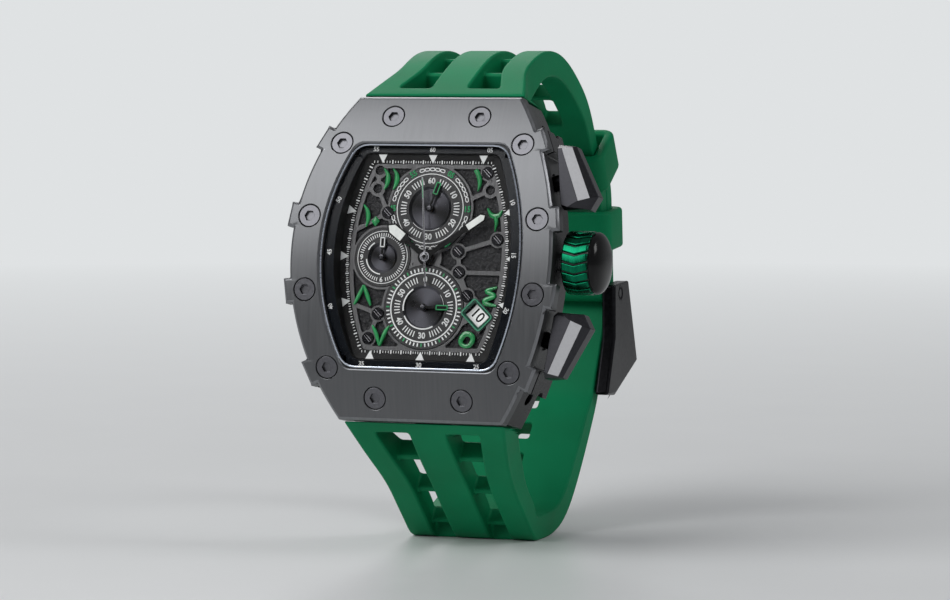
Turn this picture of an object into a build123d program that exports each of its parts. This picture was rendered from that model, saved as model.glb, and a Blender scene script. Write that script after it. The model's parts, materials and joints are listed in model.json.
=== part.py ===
from build123d import *
import os
from math import asin, cos, radians, sin

# Tonneau chronograph wristwatch with its two-piece silicone strap buckled into a loop.
# Lengths are millimetres and angles are degrees. The loop stands on the strap's flat foot,
# with the dial towards -Y, 3 o'clock towards +X and 12 o'clock up. A depth is measured from
# the front of the bezel into the case. A share is a part of the named size that it follows.

# Stand and loop
CASE_LEAN = 11.0
DIAL_HEIGHT = 46.3
LOOP_DEPTH = 62.0
FOOT_START = 25.5
FOOT_LENGTH = 4.0
DIAL_FORWARD = FOOT_START + FOOT_LENGTH / 2
OVERRUN = 1.0
SEAT_GAP = 0.05

# Bezel and its screws
CASE_RADIUS = 67.4
BEZEL_HALF_WIDTH = 21.1
BEZEL_HALF_HEIGHT = 25.0
BEZEL_END_HALF_WIDTH = 13.2
BEZEL_THICKNESS = 2.2
BEZEL_CHAMFER = 0.4
TAB_PROUD = 1.05
TAB_LENGTH = 3.9
TAB_ANGLES = (7.7, 24.4)
OPENING_HALF_WIDTH = 16.2
OPENING_HALF_HEIGHT = 17.3
OPENING_END_HALF_WIDTH = 12.0
OPENING_CORNER = 2.0
OPENING_CHAMFER = 0.3
SCREW_SPOT_SHARES = ((0.332, 0.87), (0.694, 0.694), (0.87, 0.228))
SCREW_HEAD_RADIUS = 1.67
SCREW_HEAD_HEIGHT = 0.9
SCREW_SINK = 0.08
SCREW_GROOVE = 0.12
SCREW_SHANK_RADIUS = 0.8
SCREW_LENGTH = 4.4
SCREW_SOCKET_RADIUS = 0.83
SCREW_SOCKET_DEPTH = 0.5

# Case middle, back and gaskets
GASKET_THICKNESS = 0.4
GASKET_INSET = 0.7
CASE_MIDDLE_THICKNESS = 6.6
CASE_MIDDLE_INSET = 0.3
SHOULDER_PROUD = 1.3
BACK_GASKET_THICKNESS = 0.3
CASE_BACK_THICKNESS = 2.3
CASE_BACK_INSET = 1.4
BACK_SCREW_SPOT_SHARES = ((0.5, 0.87), (0.86, 0.23))
BACK_SCREW_LENGTH = 4.1
LUG_SPOT_SHARE = 0.9
LUG_PIN_DROP = 6.2
LUG_PIN_RADIUS = 0.9
LUG_PIN_HALF_LENGTH = 13.6
LUG_PIN_SLOT = 0.4
TONGUE_HALF_WIDTH = 2.9
TONGUE_THICKNESS = 3.0
TONGUE_LENGTH = 2.1
TONGUE_REACH = 6.2

# Crystal, flange and dial
CRYSTAL_SINK = 0.1
CRYSTAL_THICKNESS = 0.8
CRYSTAL_GASKET = 0.35
DIAL_DEPTH = 3.6
DIAL_PLATE_THICKNESS = 0.4
DIAL_BASE_THICKNESS = 0.4
FLANGE_HALF_WIDTH = 12.6
FLANGE_HALF_HEIGHT = 14.35
FLANGE_END_HALF_WIDTH = 9.4
FLANGE_CORNER = 0.8
FLANGE_SPREAD = 1.4
DIAL_RIM = 0.7
STRUT_WIDTH = 0.75
BOSS_RADIUS = 1.3
CENTRE_HOLE_RADIUS = 1.0
COUNTER_SPOTS = {"top": (0.0, 7.5), "left": (-7.2, -0.1), "bottom": (0.0, -7.65)}
COUNTER_RADII = {"top": 6.5, "left": 4.5, "bottom": 6.4}
COUNTER_DISH_SHARE = 0.53
COUNTER_DISH_DEPTH = 0.25
COUNTER_PROUD = 0.1
COUNTER_SEAT = 0.5
COUNTER_HOLE_RADIUS = 0.45
DIAL_SCREW_SPOTS = (
    (-6.83, 6.79), (11.18, 2.91), (8.95, 13.1), (4.99, 1.03),
    (-7.38, -8.77), (-8.7, -12.55), (5.31, -2.16), (6.83, -5.73),
)
DIAL_POST_SPOTS = ((-8.79, 10.51), (9.5, 10.48), (-8.6, 13.33))
DIAL_SCREW_RADIUS = 0.95
DIAL_SCREW_HEAD = 0.25
DIAL_SCREW_SLOT = 0.3
DIAL_SCREW_SHANK = 0.45
POST_HOLE_RADIUS = 0.7
STRUTS = (
    ((-8.79, 10.51), (-6.83, 6.79)), ((-8.79, 10.51), (-12.6, 10.0)), ((-8.79, 10.51), (-8.6, 13.33)),
    ((-6.83, 6.79), (-12.9, 3.6)), ((-6.83, 6.79), (-4.6, 5.4)), ((-8.6, 13.33), (-8.6, 15.4)),
    ((8.95, 13.1), (9.5, 10.48)), ((8.95, 13.1), (9.0, 15.4)), ((9.5, 10.48), (12.8, 9.2)),
    ((9.5, 10.48), (5.4, 8.6)), ((11.18, 2.91), (13.4, 2.9)), ((11.18, 2.91), (4.99, 1.03)),
    ((4.99, 1.03), (3.4, 2.6)), ((4.99, 1.03), (5.31, -2.16)), ((5.31, -2.16), (13.4, -2.2)),
    ((5.31, -2.16), (6.83, -5.73)), ((6.83, -5.73), (8.6, -8.6)), ((5.31, -2.16), (3.4, -3.2)),
    ((-7.38, -8.77), (-8.7, -12.55)), ((-7.38, -8.77), (-12.9, -6.9)), ((-7.38, -8.77), (-5.4, -8.2)),
    ((-8.7, -12.55), (-9.1, -15.4)), ((8.6, -8.6), (12.6, -12.0)), ((8.6, -8.6), (5.2, -10.6)),
    ((-5.2, -4.0), (-7.6, -4.2)), ((-3.2, -13.0), (-4.6, -15.4)), ((3.2, -13.0), (4.6, -15.4)),
)
DATE_SPOT = (8.6, -8.6)
DATE_TURN = -43.5
DATE_WIDTH = 3.6
DATE_HEIGHT = 2.6
DATE_FRAME = 0.4
DATE_SEAT = 0.5
DATE_FRAME_PROUD = 0.15

# Applied numerals: strokes are shares of the numeral's height, about its own middle
NUMERAL_HEIGHT = 3.3
NUMERAL_STROKE = 0.62
NUMERAL_PROUD = 0.25
NUMERAL_FOOT_RADIUS = 0.2
NUMERALS = (
    ((-7.57, 12.0), ((-0.1, 0.5), (0.12, 0.15), (0.1, -0.2), (-0.05, -0.5))),
    ((-6.2, 12.0), ((-0.1, 0.5), (0.12, 0.15), (0.1, -0.2), (-0.05, -0.5))),
    ((7.45, 11.9), ((-0.1, 0.5), (0.12, 0.15), (0.1, -0.2), (-0.05, -0.5))),
    ((-10.4, 6.3), ((-0.1, 0.5), (0.12, 0.15), (0.12, -0.2), (0.05, -0.5))),
    ((10.5, 5.95), ((-0.35, 0.5), (-0.15, 0.2), (0.2, 0.2), (0.35, 0.42))),
    ((10.5, 5.95), ((0.0, 0.2), (0.1, -0.15), (0.05, -0.5))),
    ((10.65, -5.84), ((0.3, 0.42), (-0.25, 0.3), (0.2, 0.05), (-0.25, -0.15), (0.3, -0.4))),
    ((-6.75, -12.0), ((-0.36, 0.38), (0.0, -0.45), (0.36, 0.38))),
    ((-9.95, -5.95), ((-0.38, -0.4), (0.0, 0.4), (0.38, -0.4))),
)
FIVE_SPOT = (7.29, -12.46)
FIVE_RADIUS = 1.0
FIVE_BORE = 0.5
POINT_SPOT = (-8.72, 5.43)
POINT_SIDE = 1.0

# Hands: depths of their fronts, and lengths
HAND_THICKNESS = 0.12
HOUR_HAND_DEPTH = 2.83
MINUTE_HAND_DEPTH = 2.6
CHRONO_HAND_DEPTH = 2.38
COUNTER_HAND_DEPTH = 3.1
HOUR_HAND_LENGTH = 8.2
MINUTE_HAND_LENGTH = 11.6
CHRONO_HAND_LENGTH = 12.3
CHRONO_TAIL_LENGTH = 4.6
HOUR_HAND_WIDTH = 1.9
MINUTE_HAND_WIDTH = 1.45
CHRONO_HAND_WIDTH = 0.26
HOUR_LUME_START = 4.7
MINUTE_LUME_START = 7.75
HAND_STEM_WIDTH = 0.8
HOUR_HUB_RADIUS = 1.25
MINUTE_HUB_RADIUS = 1.05
CHRONO_HUB_RADIUS = 0.75
COUNTER_HUB_RADIUS = 0.55
COUNTER_HAND_WIDTH = 0.75
COUNTER_HAND_LENGTHS = {"top": 4.3, "left": 3.1, "bottom": 4.1}
COUNTER_HAND_TURNS = {"top": 19.0, "left": 0.0, "bottom": 90.0}
HOUR_TURN = -53.0
MINUTE_TURN = 55.0
CHRONO_TURN = -5.5

# Movement: depths of the fronts of its layers
HOLDER_RADIUS = 13.75
MOVEMENT_RADIUS = 13.6
MOVEMENT_BACK = 9.05
DATE_DISC_DEPTH = 4.55
DATE_DISC_THICKNESS = 0.2
DATE_DISC_RADIUS = 13.4
DATE_DISC_BORE = 10.7
MAIN_PLATE_DEPTH = 5.5
MAIN_PLATE_THICKNESS = 0.8
DATE_LAND_RADIUS = 13.5
DATE_LAND_BORE = 10.9
BOARD_DEPTH = 6.5
BOARD_THICKNESS = 0.3
BRIDGE_DEPTH = 8.0
BRIDGE_THICKNESS = 0.5
PILLAR_SPOTS = ((8.9, 7.4), (-11.4, 3.6), (-3.2, -11.9), (7.6, -10.0))
PILLAR_RADIUS = 1.1
MOVEMENT_SCREW_RADIUS = 0.4
MOVEMENT_SCREW_HEAD = 0.75
MOVEMENT_SCREW_HEAD_HEIGHT = 0.35
BATTERY_SPOT = (-6.5, 6.6)
BATTERY_RADIUS = 3.4
BATTERY_HEIGHT = 2.1
BATTERY_RIM = 0.3
COIL_SPOT = (9.8, -4.6)
COIL_LENGTH = 6.6
COIL_RADIUS = 0.6
COIL_FLANGE = 0.35
COIL_CORE_RADIUS = 0.28
STATOR_THICKNESS = 0.25
STATOR_WIDTH = 2.6

# Wheels: teeth of each pair, with the axle distance that they share
TOOTH_SHARES = ((-1.1, -0.3), (0.8, -0.12), (0.8, 0.12), (-1.1, 0.3))
MOTION_AXLE_DISTANCE = 3.0
CANNON_TEETH = 12
MINUTE_WHEEL_TEETH = 36
MINUTE_PINION_TEETH = 10
HOUR_WHEEL_TEETH = 40
REDUCTION_AXLE_DISTANCE = 2.4
ROTOR_AXLE_DISTANCE = 2.24
REDUCTION_PINION_TEETH = 8
SECONDS_WHEEL_TEETH = 40
ROTOR_PINION_TEETH = 8
REDUCTION_WHEEL_TEETH = 48
COUNTER_WHEEL_TEETH = 36
COUNTER_WHEEL_RADIUS = 1.9
WHEEL_THICKNESS = 0.22
WHEEL_BORE_GAP = 0.04
ARBOR_RADIUS = 0.28
CHRONO_ARBOR_RADIUS = 0.2
CANNON_PIPE_RADIUS = 0.42
HOUR_PIPE_RADIUS = 0.7
MINUTE_POST_RADIUS = 0.22
ROTOR_RADIUS = 0.75
ROTOR_HEIGHT = 0.35
HOUR_WHEEL_DEPTH = 4.62
CANNON_DEPTH = 5.05
SECONDS_WHEEL_DEPTH = 7.0
REDUCTION_WHEEL_DEPTH = 7.6

# Crown and stem, on an axis along X
CROWN_DEPTH = 6.3
CROWN_START = 21.7
CROWN_RING_LENGTH = 3.3
CROWN_DOME_LENGTH = 3.5
CROWN_RADIUS = 4.75
CROWN_RING_THICKNESS = 1.0
CROWN_NOTCHES = 24
CROWN_NOTCH = 0.35
CROWN_BORE_RADIUS = 1.9
CROWN_BORE_LENGTH = 2.5
CROWN_TUBE_RADIUS = 1.5
CROWN_TUBE_END = 23.9
CROWN_GASKET_START = 0.2
CROWN_GASKET_LENGTH = 0.5
STEM_RADIUS = 0.6
STEM_START = 8.2
STEM_END = 24.8
RUNNING_GAP = 0.04

# Pushers, each on an axis that is turned from X in the dial's plane
PUSHER_DEPTH = 5.9
PUSHER_TURN = 20.0
PUSHER_SHIFT = 4.6
PUSHER_BASE = 23.15
PUSHER_LENGTH = 11.2
PUSHER_HEIGHT = 5.05
PUSHER_THICKNESS = 4.6
PUSHER_FACET = 1.1
PUSHER_OUTLINE_SHARES = ((0.238, 0.5), (0.743, 0.39), (1.0, -0.375), (0.653, -0.5), (0.0, -0.375))
PUSHER_STEM_RADIUS = 0.7
PUSHER_STEM_START = 15.2
PUSHER_TUBE_RADIUS = 1.6
PUSHER_TUBE_START = 17.4
PUSHER_TUBE_END = 21.9
PUSHER_TUBE_STEP = 18.9
PUSHER_SPRING_RADIUS = 1.25
PUSHER_SPRING_WALL = 0.3
PUSHER_TRAVEL = 0.7
PUSHER_POCKET_RADIUS = 1.8

# Strap: thicknesses are measured square to its outer face
STRAP_HALF_WIDTH_CASE = 13.0
STRAP_HALF_WIDTH_BACK = 10.5
STRAP_END_GAP = 0.1
STRAP_END_TOP_DEPTH = 6.3
STRAP_END_RISE = 0.6
STRAP_END_THICKNESS = 8.7
STRAP_THICKNESS = 3.9
SHORT_END_THICKNESS = 3.2
TAIL_THICKNESS = 2.8
TAIL_GAP = 0.1
TAIL_BEND_RADIUS = 6.0
UPPER_SHARES = (
    (0.189, -0.5432), (0.3773, -0.9179), (0.6069, -0.8458), (0.7883, -0.3271), (0.9123, 0.2493),
)
UPPER_THICKNESS_SHARES = (1.41, 1.13, 1.02, 0.98, 0.92)
KEEPER_RUN_SHARES = ((0.881, 0.367), (0.977, 0.152), (0.9985, -0.199))
LOWER_SHARES = ((0.2949, 0.3304), (0.4857, 0.521), (0.6723, 0.7165), (0.8465, 0.8974))
LOWER_THICKNESS_SHARES = (1.15, 1.1, 1.05, 0.98)
BACK_SHARES = ((0.624, -0.96), (0.729, -0.853), (0.806, -0.742), (0.873, -0.634), (0.91, -0.562))
BACK_THICKNESS_SHARES = (1.0, 1.0, 0.95, 0.85, 0.74)
TAIL_OVERLAP = 9.2
TAIL_BEND_DROP = 1.6
WINDOW_PITCH = 8.7
WINDOW_BAR = 1.1
WINDOW_INNER_X = 3.0
WINDOW_SIDE_BAND = 4.1
WINDOW_RECESS = 1.2
WINDOW_START = 1.9
UPPER_WINDOWS = 5
LOWER_WINDOWS = 4
HOLE_LENGTH = 3.2
HOLE_WIDTH = 2.2
HOLE_PITCH = 6.5
HOLE_COUNT = 3

# Keepers
KEEPER_LENGTH = 6.6
KEEPER_WALL = 1.7
KEEPER_GAP = 0.15
KEEPER_CORNER = 1.2
FREE_KEEPER_RISE = 6.4
FIXED_KEEPER_DROP = 5.9

# Buckle: its outline is in shares of its depth and length, about the spring bar
BUCKLE_DEPTH = 9.7
BUCKLE_LENGTH = 16.75
BUCKLE_CHEEK = 2.3
BUCKLE_SIDE_GAP = 0.25
CHEEK_SHARES = (
    (-0.34, 0.087), (0.474, 0.105), (1.0, -0.713), (-0.268, -1.0), (-0.722, -0.976), (-0.33, -0.433),
)
FAR_BAR_START = 10.4
FAR_BAR_LENGTH = 5.4
FAR_BAR_GAP = 0.4
SPRING_BAR_RADIUS = 0.75
SPRING_BAR_GAP = 0.05
PRONG_ANGLE = 27.0
PRONG_LENGTH = 13.6
PRONG_THICKNESS = 1.2
PRONG_WIDTH = 2.4
PRONG_LOOP = 0.65
PRONG_SIDE_GAP = 0.35
PRONG_LIFT = 16.0

# Planes
LEAN = radians(CASE_LEAN)
DIAL = Plane(
    origin=(0, -DIAL_FORWARD, DIAL_HEIGHT), x_dir=(1, 0, 0), z_dir=(0, -cos(LEAN), sin(LEAN))
)
SIDE = Plane(origin=DIAL.origin, x_dir=(0, 1, 0), z_dir=(1, 0, 0))
CASE_AXIS = Plane(origin=DIAL.offset(-CASE_RADIUS).origin, x_dir=(0, 1, 0), z_dir=(1, 0, 0))
CASE_REACH = CASE_RADIUS / 2

# Radii of the case's curved layers about the case axis
GASKET_FRONT = CASE_RADIUS - BEZEL_THICKNESS
MIDDLE_FRONT = GASKET_FRONT - GASKET_THICKNESS
MIDDLE_BACK = MIDDLE_FRONT - CASE_MIDDLE_THICKNESS
BACK_FRONT = MIDDLE_BACK - BACK_GASKET_THICKNESS
BACK_REAR = BACK_FRONT - CASE_BACK_THICKNESS
CRYSTAL_FRONT = CASE_RADIUS - CRYSTAL_SINK
CRYSTAL_REAR = CRYSTAL_FRONT - CRYSTAL_THICKNESS


def tonneau(half_width, half_height, end_half_width, corner=0.0):
    """Outline with straight ends and bowed sides."""
    with BuildSketch() as outline:
        with BuildLine():
            Line((-end_half_width, half_height), (end_half_width, half_height))
            ThreePointArc((end_half_width, half_height), (half_width, 0), (end_half_width, -half_height))
            Line((end_half_width, -half_height), (-end_half_width, -half_height))
            ThreePointArc((-end_half_width, -half_height), (-half_width, 0), (-end_half_width, half_height))
        make_face()
        if corner > 0:
            fillet(outline.vertices(), corner)
    return outline.sketch


def inset(sketch, distance):
    """The same outline drawn in by a distance."""
    with BuildSketch() as smaller:
        add(sketch)
        offset(amount=-distance, mode=Mode.REPLACE)
    return smaller.sketch


def side_pads(proud, length, angles):
    """Blocks astride the bowed sides, at angles from 3 and 9 o'clock up and down."""
    bow = BEZEL_HALF_WIDTH - BEZEL_END_HALF_WIDTH
    radius = (bow**2 + BEZEL_HALF_HEIGHT**2) / (2 * bow)
    with BuildSketch() as pads:
        with Locations((BEZEL_HALF_WIDTH - radius, 0)):
            for angle in angles:
                for turn in (angle, -angle):
                    with PolarLocations(radius, 1, start_angle=turn):
                        Rectangle(2 * proud, length)
        mirror(about=Plane.YZ)
    return pads.sketch


def stand(sketch, front, back, mode=Mode.ADD):
    """Extrudes an outline of the dial's plane between two depths."""
    with BuildSketch(DIAL.offset(-back)) as placed:
        add(sketch)
    extrude(placed.sketch, amount=back - front, mode=mode)


def between(outer_radius, inner_radius):
    """Keeps what lies between two radii about the case axis."""
    with BuildSketch(CASE_AXIS) as ring:
        Circle(outer_radius)
        Circle(inner_radius, mode=Mode.SUBTRACT)
    extrude(ring.sketch, amount=2 * BEZEL_HALF_WIDTH, both=True, mode=Mode.INTERSECT)


def on_case(x, y, radius):
    """Plane on a curved layer of the case, facing outwards, at a place of the bezel's front."""
    tilt = LEAN + asin(y / CASE_RADIUS)
    outward = Vector(0, -cos(tilt), sin(tilt))
    origin = CASE_AXIS.origin + Vector(x, 0, 0) + outward * radius
    return Plane(origin=origin, x_dir=(1, 0, 0), z_dir=outward)


def mirrored_spots(shares):
    """All four mirrored places of each pair of shares of the bezel's half sizes."""
    return [
        (x_sign * x_share * BEZEL_HALF_WIDTH, y_sign * y_share * BEZEL_HALF_HEIGHT)
        for x_share, y_share in shares
        for x_sign in (1, -1)
        for y_sign in (1, -1)
    ]


def side_of(depth, up):
    """Side-plane point of a depth and a height in the dial's own directions."""
    return Vector(depth * cos(LEAN) + up * sin(LEAN), up * cos(LEAN) - depth * sin(LEAN))


def side_share(y_share, z_share):
    """Side-plane point in shares of the loop's depth and the dial's height."""
    return Vector(y_share * LOOP_DEPTH, z_share * DIAL_HEIGHT)


def share_between(start, end, shares):
    """Side-plane point in shares of the two steps from one point to another."""
    y_share, z_share = shares
    return Vector(start.X + y_share * (end.X - start.X), start.Y + z_share * (end.Y - start.Y))


def wheel(pitch_radius, teeth, phase=0.0):
    """Outline of a toothed wheel with a tooth at the phase angle."""
    module = 2 * pitch_radius / teeth
    pitch_angle = 360 / teeth
    points = []
    for tooth in range(teeth):
        for height_share, angle_share in TOOTH_SHARES:
            angle = radians(phase + (tooth + angle_share) * pitch_angle)
            radius = pitch_radius + height_share * module
            points.append((radius * cos(angle), radius * sin(angle)))
    with BuildSketch() as outline:
        Polygon(*points, align=None)
    return outline.sketch


def lathe(spot, steps):
    """Turned piece on the dial's axis direction: steps of (front, back, outer, inner radius)."""
    for front, back, outer, inner in steps:
        with BuildSketch() as ring:
            with Locations(spot):
                Circle(outer)
                if inner > 0:
                    Circle(inner, mode=Mode.SUBTRACT)
        stand(ring.sketch, front, back)


def hole(spot, radius, front, back):
    """Round hole along the dial's axis direction."""
    with BuildSketch() as circle:
        with Locations(spot):
            Circle(radius)
    stand(circle.sketch, front - OVERRUN, back + OVERRUN, mode=Mode.SUBTRACT)


def write(builder, label):
    """Labels a finished piece and writes its file."""
    builder.part.label = label
    export_step(builder.part, f"parts/{label}.step")


os.makedirs("parts", exist_ok=True)

# Outlines that several pieces share
CASE_OUTLINE = tonneau(BEZEL_HALF_WIDTH, BEZEL_HALF_HEIGHT, BEZEL_END_HALF_WIDTH)
OPENING = tonneau(OPENING_HALF_WIDTH, OPENING_HALF_HEIGHT, OPENING_END_HALF_WIDTH, OPENING_CORNER)
CRYSTAL_OUTLINE = inset(OPENING, CRYSTAL_GASKET)
DIAL_OUTLINE = inset(OPENING, 2 * SEAT_GAP)
DIAL_WINDOW = tonneau(FLANGE_HALF_WIDTH, FLANGE_HALF_HEIGHT, FLANGE_END_HALF_WIDTH, FLANGE_CORNER)
SCREW_SPOTS = mirrored_spots(SCREW_SPOT_SHARES)
BACK_SCREW_SPOTS = mirrored_spots(BACK_SCREW_SPOT_SHARES)

# Bezel: curved slab with side tabs, a bevelled opening and recesses for its screws
with BuildPart() as bezel:
    with BuildSketch(DIAL.offset(-CASE_REACH)):
        add(CASE_OUTLINE)
        add(side_pads(TAB_PROUD, TAB_LENGTH, TAB_ANGLES))
        add(OPENING, mode=Mode.SUBTRACT)
    extrude(amount=CASE_REACH + OVERRUN)
    between(CASE_RADIUS, GASKET_FRONT)
    front_face = bezel.faces().sort_by(Axis(DIAL.origin, DIAL.z_dir))[-1]
    chamfer(front_face.outer_wire().edges(), BEZEL_CHAMFER)
    front_face = bezel.faces().sort_by(Axis(DIAL.origin, DIAL.z_dir))[-1]
    chamfer(front_face.inner_wires()[0].edges(), OPENING_CHAMFER)
    with Locations(*[on_case(x, y, CASE_RADIUS) for x, y in SCREW_SPOTS]):
        CounterBoreHole(
            SCREW_SHANK_RADIUS + SEAT_GAP,
            SCREW_HEAD_RADIUS + SCREW_GROOVE,
            SCREW_HEAD_HEIGHT + SCREW_SINK,
            BEZEL_THICKNESS + OVERRUN,
        )
write(bezel, "bezel")

# Bezel screws: socket heads a little below the bezel's face
with BuildPart() as bezel_screws:
    for x, y in SCREW_SPOTS:
        seat = on_case(x, y, CASE_RADIUS - SCREW_SINK)
        with BuildSketch(seat):
            Circle(SCREW_HEAD_RADIUS)
        extrude(amount=-SCREW_HEAD_HEIGHT)
        with BuildSketch(seat.offset(-SCREW_HEAD_HEIGHT)):
            Circle(SCREW_SHANK_RADIUS)
        extrude(amount=SCREW_HEAD_HEIGHT - SCREW_LENGTH)
        with BuildSketch(seat):
            RegularPolygon(SCREW_SOCKET_RADIUS, 6)
        extrude(amount=-SCREW_SOCKET_DEPTH, mode=Mode.SUBTRACT)
write(bezel_screws, "bezel_screws")

# Bezel gasket, drawn in from the case's edge
with BuildPart() as bezel_gasket:
    with BuildSketch(DIAL.offset(-CASE_REACH)):
        add(inset(CASE_OUTLINE, GASKET_INSET))
        add(OPENING, mode=Mode.SUBTRACT)
    extrude(amount=CASE_REACH + OVERRUN)
    between(GASKET_FRONT, MIDDLE_FRONT)
    with Locations(*[on_case(x, y, GASKET_FRONT) for x, y in SCREW_SPOTS]):
        Hole(SCREW_SHANK_RADIUS + SEAT_GAP, GASKET_THICKNESS + OVERRUN)
write(bezel_gasket, "bezel_gasket")


def lug_plane(sign):
    """Side plane on a strap pin: local x points away from the case and local y to its front."""
    tilt = LEAN + sign * asin(LUG_SPOT_SHARE * BEZEL_HALF_HEIGHT / CASE_RADIUS)
    outward = Vector(0, -cos(tilt), sin(tilt))
    away = Vector(0, sin(tilt), cos(tilt)) * sign
    origin = CASE_AXIS.origin + outward * (CASE_RADIUS - LUG_PIN_DROP)
    return Plane(origin=origin, x_dir=away, z_dir=(sign, 0, 0))


def pusher_plane(sign):
    """Plane of a pusher's axis: local x points out of the case along the axis."""
    place = DIAL.offset(-PUSHER_DEPTH).location
    turn = Location((0, 0, 0), (0, 0, sign * PUSHER_TURN))
    shift = Location((0, sign * PUSHER_SHIFT, 0))
    return Plane(place * turn * shift)


def along_pusher(sign, distance):
    """Plane square to a pusher's axis, at a distance along it."""
    base = pusher_plane(sign)
    return Plane(origin=base.origin + base.x_dir * distance, x_dir=base.y_dir, z_dir=base.x_dir)


CROWN_LINE = Plane(origin=DIAL.offset(-CROWN_DEPTH).origin, x_dir=DIAL.y_dir, z_dir=(1, 0, 0))

# Case middle: curved ring with shoulders, strap pockets, and bores for crown and pushers
with BuildPart() as case_middle:
    with BuildSketch(DIAL.offset(-CASE_REACH)):
        add(inset(CASE_OUTLINE, CASE_MIDDLE_INSET))
        add(side_pads(SHOULDER_PROUD - CASE_MIDDLE_INSET, TAB_LENGTH, TAB_ANGLES[1:]))
        add(OPENING, mode=Mode.SUBTRACT)
    extrude(amount=CASE_REACH + OVERRUN)
    between(MIDDLE_FRONT, MIDDLE_BACK)
    with Locations(*[on_case(x, y, MIDDLE_FRONT) for x, y in SCREW_SPOTS]):
        Hole(SCREW_SHANK_RADIUS, SCREW_LENGTH + SCREW_SINK - BEZEL_THICKNESS - GASKET_THICKNESS)
    for x, y in BACK_SCREW_SPOTS:
        with BuildSketch(on_case(x, y, MIDDLE_BACK)):
            Circle(SCREW_SHANK_RADIUS)
        extrude(
            amount=BACK_SCREW_LENGTH - CASE_BACK_THICKNESS - BACK_GASKET_THICKNESS + SCREW_SINK,
            mode=Mode.SUBTRACT,
        )
        with BuildSketch(on_case(x, y, MIDDLE_BACK)):
            Circle(SCREW_SHANK_RADIUS)
        extrude(amount=-OVERRUN, mode=Mode.SUBTRACT)
    for sign in (1, -1):
        pocket_length = TONGUE_LENGTH + SEAT_GAP
        with BuildSketch(lug_plane(sign)):
            with Locations((-pocket_length, 0)):
                Rectangle(
                    pocket_length + BEZEL_HALF_HEIGHT,
                    TONGUE_THICKNESS + 2 * SEAT_GAP,
                    align=(Align.MIN, Align.CENTER),
                )
        extrude(amount=TONGUE_HALF_WIDTH + SEAT_GAP, both=True, mode=Mode.SUBTRACT)
        with BuildSketch(lug_plane(sign)):
            Circle(LUG_PIN_RADIUS + SEAT_GAP)
        extrude(amount=BEZEL_HALF_WIDTH, both=True, mode=Mode.SUBTRACT)
        with BuildSketch(along_pusher(sign, MOVEMENT_RADIUS)):
            Circle(PUSHER_TUBE_RADIUS)
        extrude(amount=PUSHER_BASE - MOVEMENT_RADIUS, mode=Mode.SUBTRACT)
    with BuildSketch(CROWN_LINE.offset(MOVEMENT_RADIUS)):
        Circle(CROWN_TUBE_RADIUS)
    extrude(amount=CROWN_START - MOVEMENT_RADIUS, mode=Mode.SUBTRACT)
write(case_middle, "case_middle")

# Pins that hold the strap's tongues, with a driver slot in one end
with BuildPart() as strap_pins:
    for sign in (1, -1):
        with BuildSketch(lug_plane(sign)):
            Circle(LUG_PIN_RADIUS)
        extrude(amount=LUG_PIN_HALF_LENGTH, both=True)
        with BuildSketch(lug_plane(sign).offset(LUG_PIN_HALF_LENGTH * sign)):
            Rectangle(2 * LUG_PIN_RADIUS, LUG_PIN_SLOT)
        extrude(amount=-LUG_PIN_SLOT * sign, mode=Mode.SUBTRACT)
write(strap_pins, "strap_pins")

# Case back and its gasket
with BuildPart() as case_back_gasket:
    with BuildSketch(DIAL.offset(-CASE_REACH)):
        add(inset(CASE_OUTLINE, CASE_BACK_INSET + GASKET_INSET))
        add(OPENING, mode=Mode.SUBTRACT)
    extrude(amount=CASE_REACH + OVERRUN)
    between(MIDDLE_BACK, BACK_FRONT)
    with Locations(*[on_case(x, y, MIDDLE_BACK) for x, y in BACK_SCREW_SPOTS]):
        Hole(SCREW_SHANK_RADIUS + SEAT_GAP, OVERRUN)
write(case_back_gasket, "case_back_gasket")

with BuildPart() as case_back:
    with BuildSketch(DIAL.offset(-CASE_REACH)):
        add(inset(CASE_OUTLINE, CASE_BACK_INSET))
    extrude(amount=CASE_REACH + OVERRUN)
    between(BACK_FRONT, BACK_REAR)
    rear_face = case_back.faces().sort_by(Axis(DIAL.origin, DIAL.z_dir))[0]
    chamfer(rear_face.outer_wire().edges(), BEZEL_CHAMFER)
    for x, y in BACK_SCREW_SPOTS:
        seat = on_case(x, y, BACK_REAR)
        with BuildSketch(seat.offset(-OVERRUN)):
            Circle(SCREW_HEAD_RADIUS - SCREW_GROOVE)
        extrude(amount=OVERRUN + SCREW_HEAD_HEIGHT + SCREW_SINK, mode=Mode.SUBTRACT)
        with BuildSketch(seat):
            Circle(SCREW_SHANK_RADIUS + SEAT_GAP)
        extrude(amount=CASE_BACK_THICKNESS + OVERRUN, mode=Mode.SUBTRACT)
write(case_back, "case_back")

with BuildPart() as case_back_screws:
    for x, y in BACK_SCREW_SPOTS:
        seat = on_case(x, y, BACK_REAR + SCREW_SINK)
        with BuildSketch(seat):
            Circle(SCREW_HEAD_RADIUS - 2 * SCREW_GROOVE)
        extrude(amount=SCREW_HEAD_HEIGHT)
        with BuildSketch(seat.offset(SCREW_HEAD_HEIGHT)):
            Circle(SCREW_SHANK_RADIUS)
        extrude(amount=BACK_SCREW_LENGTH - SCREW_HEAD_HEIGHT)
        with BuildSketch(seat):
            RegularPolygon(SCREW_SOCKET_RADIUS, 6)
        extrude(amount=SCREW_SOCKET_DEPTH, mode=Mode.SUBTRACT)
write(case_back_screws, "case_back_screws")

# Crystal, its gasket, and the flange that slopes from the crystal down to the dial
with BuildPart() as crystal:
    with BuildSketch(DIAL.offset(-CASE_REACH)):
        add(CRYSTAL_OUTLINE)
    extrude(amount=CASE_REACH + OVERRUN)
    between(CRYSTAL_FRONT, CRYSTAL_REAR)
write(crystal, "crystal")

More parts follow.
